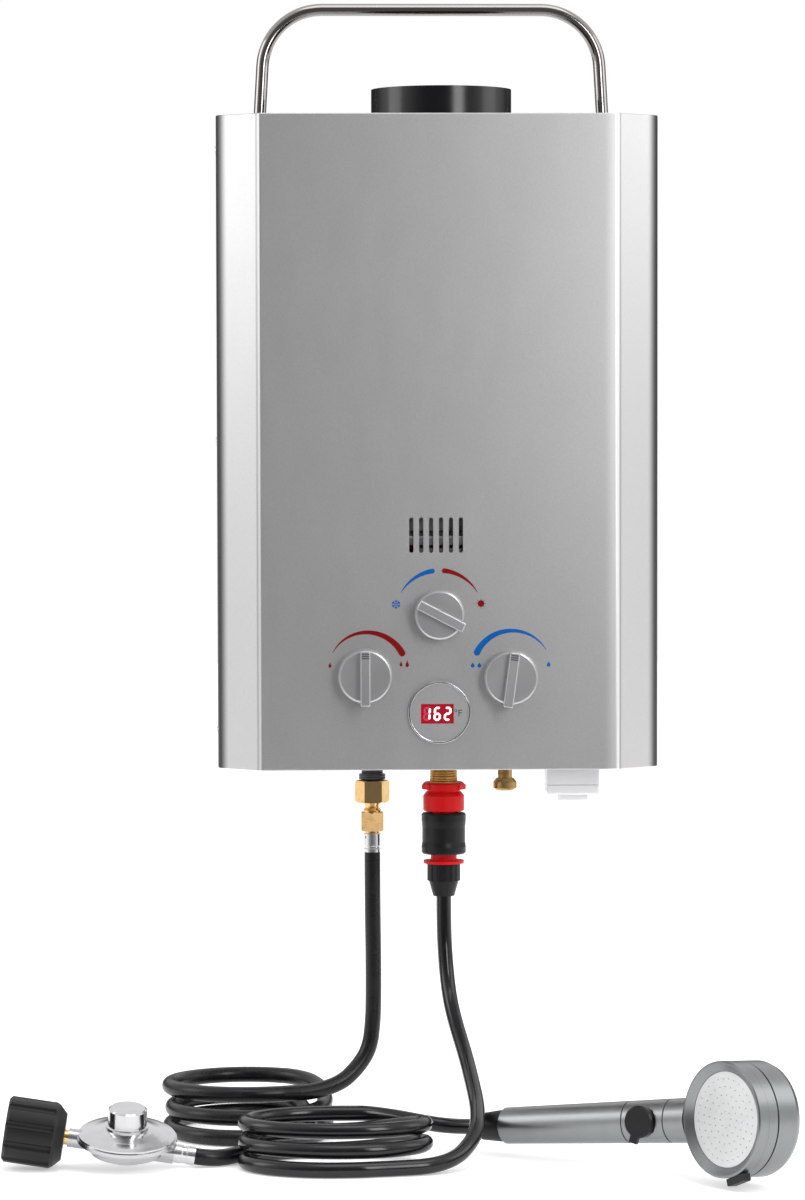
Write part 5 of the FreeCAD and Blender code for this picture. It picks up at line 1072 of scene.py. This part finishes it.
@dataclass
class Studio:
    """A white room with a pale floor, soft boxes and the camera."""

    camera_at: tuple = (-0.12129, -3.47044, -0.15976)
    yaw: float = 1.625
    pitch: float = 2.557
    roll: float = -0.118
    lens: float = 133.01
    sensor: float = 36.0
    lamps: tuple = (("key_box", (0.62, -1.35, 0.15), (0.12, -0.16, -0.12), (0.4, 0.9), 8.0),
                    ("right_box", (1.7, -0.3, 0.55), (0.0, -0.1, 0.0), (0.9, 1.1), 5.0),
                    ("left_box", (-1.9, -0.3, 0.52), (0.0, -0.1, 0.0), (0.9, 1.2), 8.5),
                    ("top_box", (0.2, -0.7, 1.8), (0.0, -0.2, -0.5), (1.6, 1.4), 12.0))
    floor_reach: float = 6.0
    floor_front: float = -0.7

    def camera(self) -> bpy.types.Object:
        """The camera, set as the scene's own.

        Returns:
            The camera object.
        """
        yaw, pitch, roll = (math.radians(value) for value in (self.yaw, self.pitch, self.roll))
        ahead = Vector((math.sin(yaw) * math.cos(pitch), math.cos(yaw) * math.cos(pitch), -math.sin(pitch)))
        right = Vector((math.cos(yaw), -math.sin(yaw), 0.0))
        up = right.cross(ahead)
        turned_right = right * math.cos(roll) + up * math.sin(roll)
        turned_up = up * math.cos(roll) - right * math.sin(roll)
        data = bpy.data.cameras.new("camera")
        data.lens = self.lens
        data.sensor_fit = "VERTICAL"
        data.sensor_height = self.sensor
        data.clip_end = 60.0
        camera = bpy.data.objects.new("camera", data)
        turn = Matrix((turned_right, turned_up, -ahead)).transposed()
        camera.matrix_world = Matrix.Translation(self.camera_at) @ turn.to_4x4()
        bpy.context.scene.collection.objects.link(camera)
        bpy.context.scene.camera = camera
        return camera

    def softbox(self, name: str, place: tuple, aim: tuple, size: tuple, power: float) -> bpy.types.Object:
        """One rectangular lamp.

        Args:
            name: its name.
            place: where it stands.
            aim: the point it faces.
            size: width and height in metres.
            power: watts.
        Returns:
            The lamp.
        """
        data = bpy.data.lights.new(name, "AREA")
        data.shape = "RECTANGLE"
        data.size, data.size_y = size
        data.energy = power
        lamp = bpy.data.objects.new(name, data)
        lamp.location = place
        lamp.rotation_euler = (Vector(aim) - Vector(place)).to_track_quat("-Z", "Y").to_euler()
        bpy.context.scene.collection.objects.link(lamp)
        return lamp

    def world(self) -> None:
        """A white room, dim towards the camera and dark low behind the heater, where only reflections show
        it, so that polished edges get their dark lines."""
        world = bpy.data.worlds.new("studio")
        world.use_nodes = True
        bpy.context.scene.world = world
        graph = Graph(world.node_tree)
        way = graph.node("ShaderNodeTexCoord", output=0)
        y = graph.node("ShaderNodeSeparateXYZ", sockets={0: way}, output=1)
        z = graph.node("ShaderNodeSeparateXYZ", sockets={0: way}, output=2)
        near = (y * -1.0).step(0.30, 0.93)
        behind = y.step(0.20, 0.75) * z.step(0.42, 0.12)
        tone = graph.mix(behind, graph.mix(near, (1.0, 1.0, 1.0), (0.16, 0.16, 0.165)), (0.05, 0.05, 0.05))
        sky = graph.node("ShaderNodeBackground", {}, {"Color": tone, "Strength": 1.1})
        white = graph.node("ShaderNodeBackground", {}, {"Color": (1.0, 1.0, 1.0, 1.0), "Strength": 1.0})
        seen = graph.node("ShaderNodeLightPath", output=0)
        both = graph.node("ShaderNodeMixShader", {}, {0: seen, 1: sky, 2: white})
        graph.node("ShaderNodeOutputWorld", {}, {"Surface": both})

    def floor(self) -> bpy.types.Object:
        """A pale, matt floor that glows a little."""
        mesh = bpy.data.meshes.new("floor")
        reach = self.floor_reach
        corners = [(-reach, self.floor_front, FLOOR_Z), (reach, self.floor_front, FLOOR_Z),
                   (reach, reach, FLOOR_Z), (-reach, reach, FLOOR_Z)]
        mesh.from_pydata(corners, [], [(0, 1, 2, 3)])
        material = bpy.data.materials.new("studio_floor")
        material.use_nodes = True
        graph = Graph(material.node_tree)
        drift = graph.noise(3.0, 2.0)
        tone = graph.mix(drift, (0.90, 0.90, 0.90), (0.93, 0.93, 0.93))
        sockets = {"Base Color": tone, "Roughness": 0.50 + drift * 0.05, "Specular IOR Level": 0.02,
                   "Emission Color": tone, "Emission Strength": 0.42}
        shader = graph.node("ShaderNodeBsdfPrincipled", {}, sockets)
        graph.node("ShaderNodeOutputMaterial", {}, {"Surface": shader})
        mesh.materials.append(material)
        floor = bpy.data.objects.new("studio_floor", mesh)
        bpy.context.scene.collection.objects.link(floor)
        return floor

    def build(self) -> None:
        """Camera, floor, room and lamps."""
        bpy.context.scene.view_settings.view_transform = "Standard"
        self.camera()
        self.world()
        self.floor()
        for lamp in self.lamps:
            self.softbox(*lamp)


def build_marks() -> list[bpy.types.Object]:
    """The printed arcs and signs on the casing, and the knobs' markers."""
    arcs = (
        DialArc("gas_arc", (-55.6, -364.2), Look.INK_RED, (144.5, 31.5), (29.7, 32.6, 32.5), (0.3, 5.0)),
        DialArc("water_arc", (53.4, -365.6), Look.INK_BLUE, (37.7, 143.4), (33.5, 34.9, 31.4), (0.3, 5.0)),
        DialArc("mode_cold_arc", (0.0, -318.5), Look.INK_BLUE, (150.0, 99.0), (33.0, 33.0, 33.0), (0.3, 3.7)),
        DialArc("mode_hot_arc", (0.0, -318.5), Look.INK_RED, (30.0, 83.5), (33.0, 33.0, 33.0), (0.3, 3.7)))
    pieces = [arc.build() for arc in arcs]
    pieces += PanelMarks().build()
    pieces.append(KnobMarker("gas_knob_marker", "gas_control", (-55.6, -364.2), 0.0).build())
    pieces.append(KnobMarker("water_knob_marker", "water_control", (53.4, -365.6), 7.6).build())
    return pieces


def main() -> None:
    """Builds the scene in order and reports each piece."""
    logging.basicConfig(level=logging.INFO, format="%(message)s")
    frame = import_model()
    Studio().build()
    LOG.info("studio ready")
    for hose in (GasHose().build(), ShowerHose().build()):
        LOG.info("%s built", hose.name)
    LOG.info("%d nodes dressed", dress_nodes(frame["nodes"]))
    for piece in build_marks() + Display().build() + SmallTrim().build():
        LOG.info("%s built", piece.name)
    bpy.context.view_layer.update()


if __name__ == "__main__":
    main()
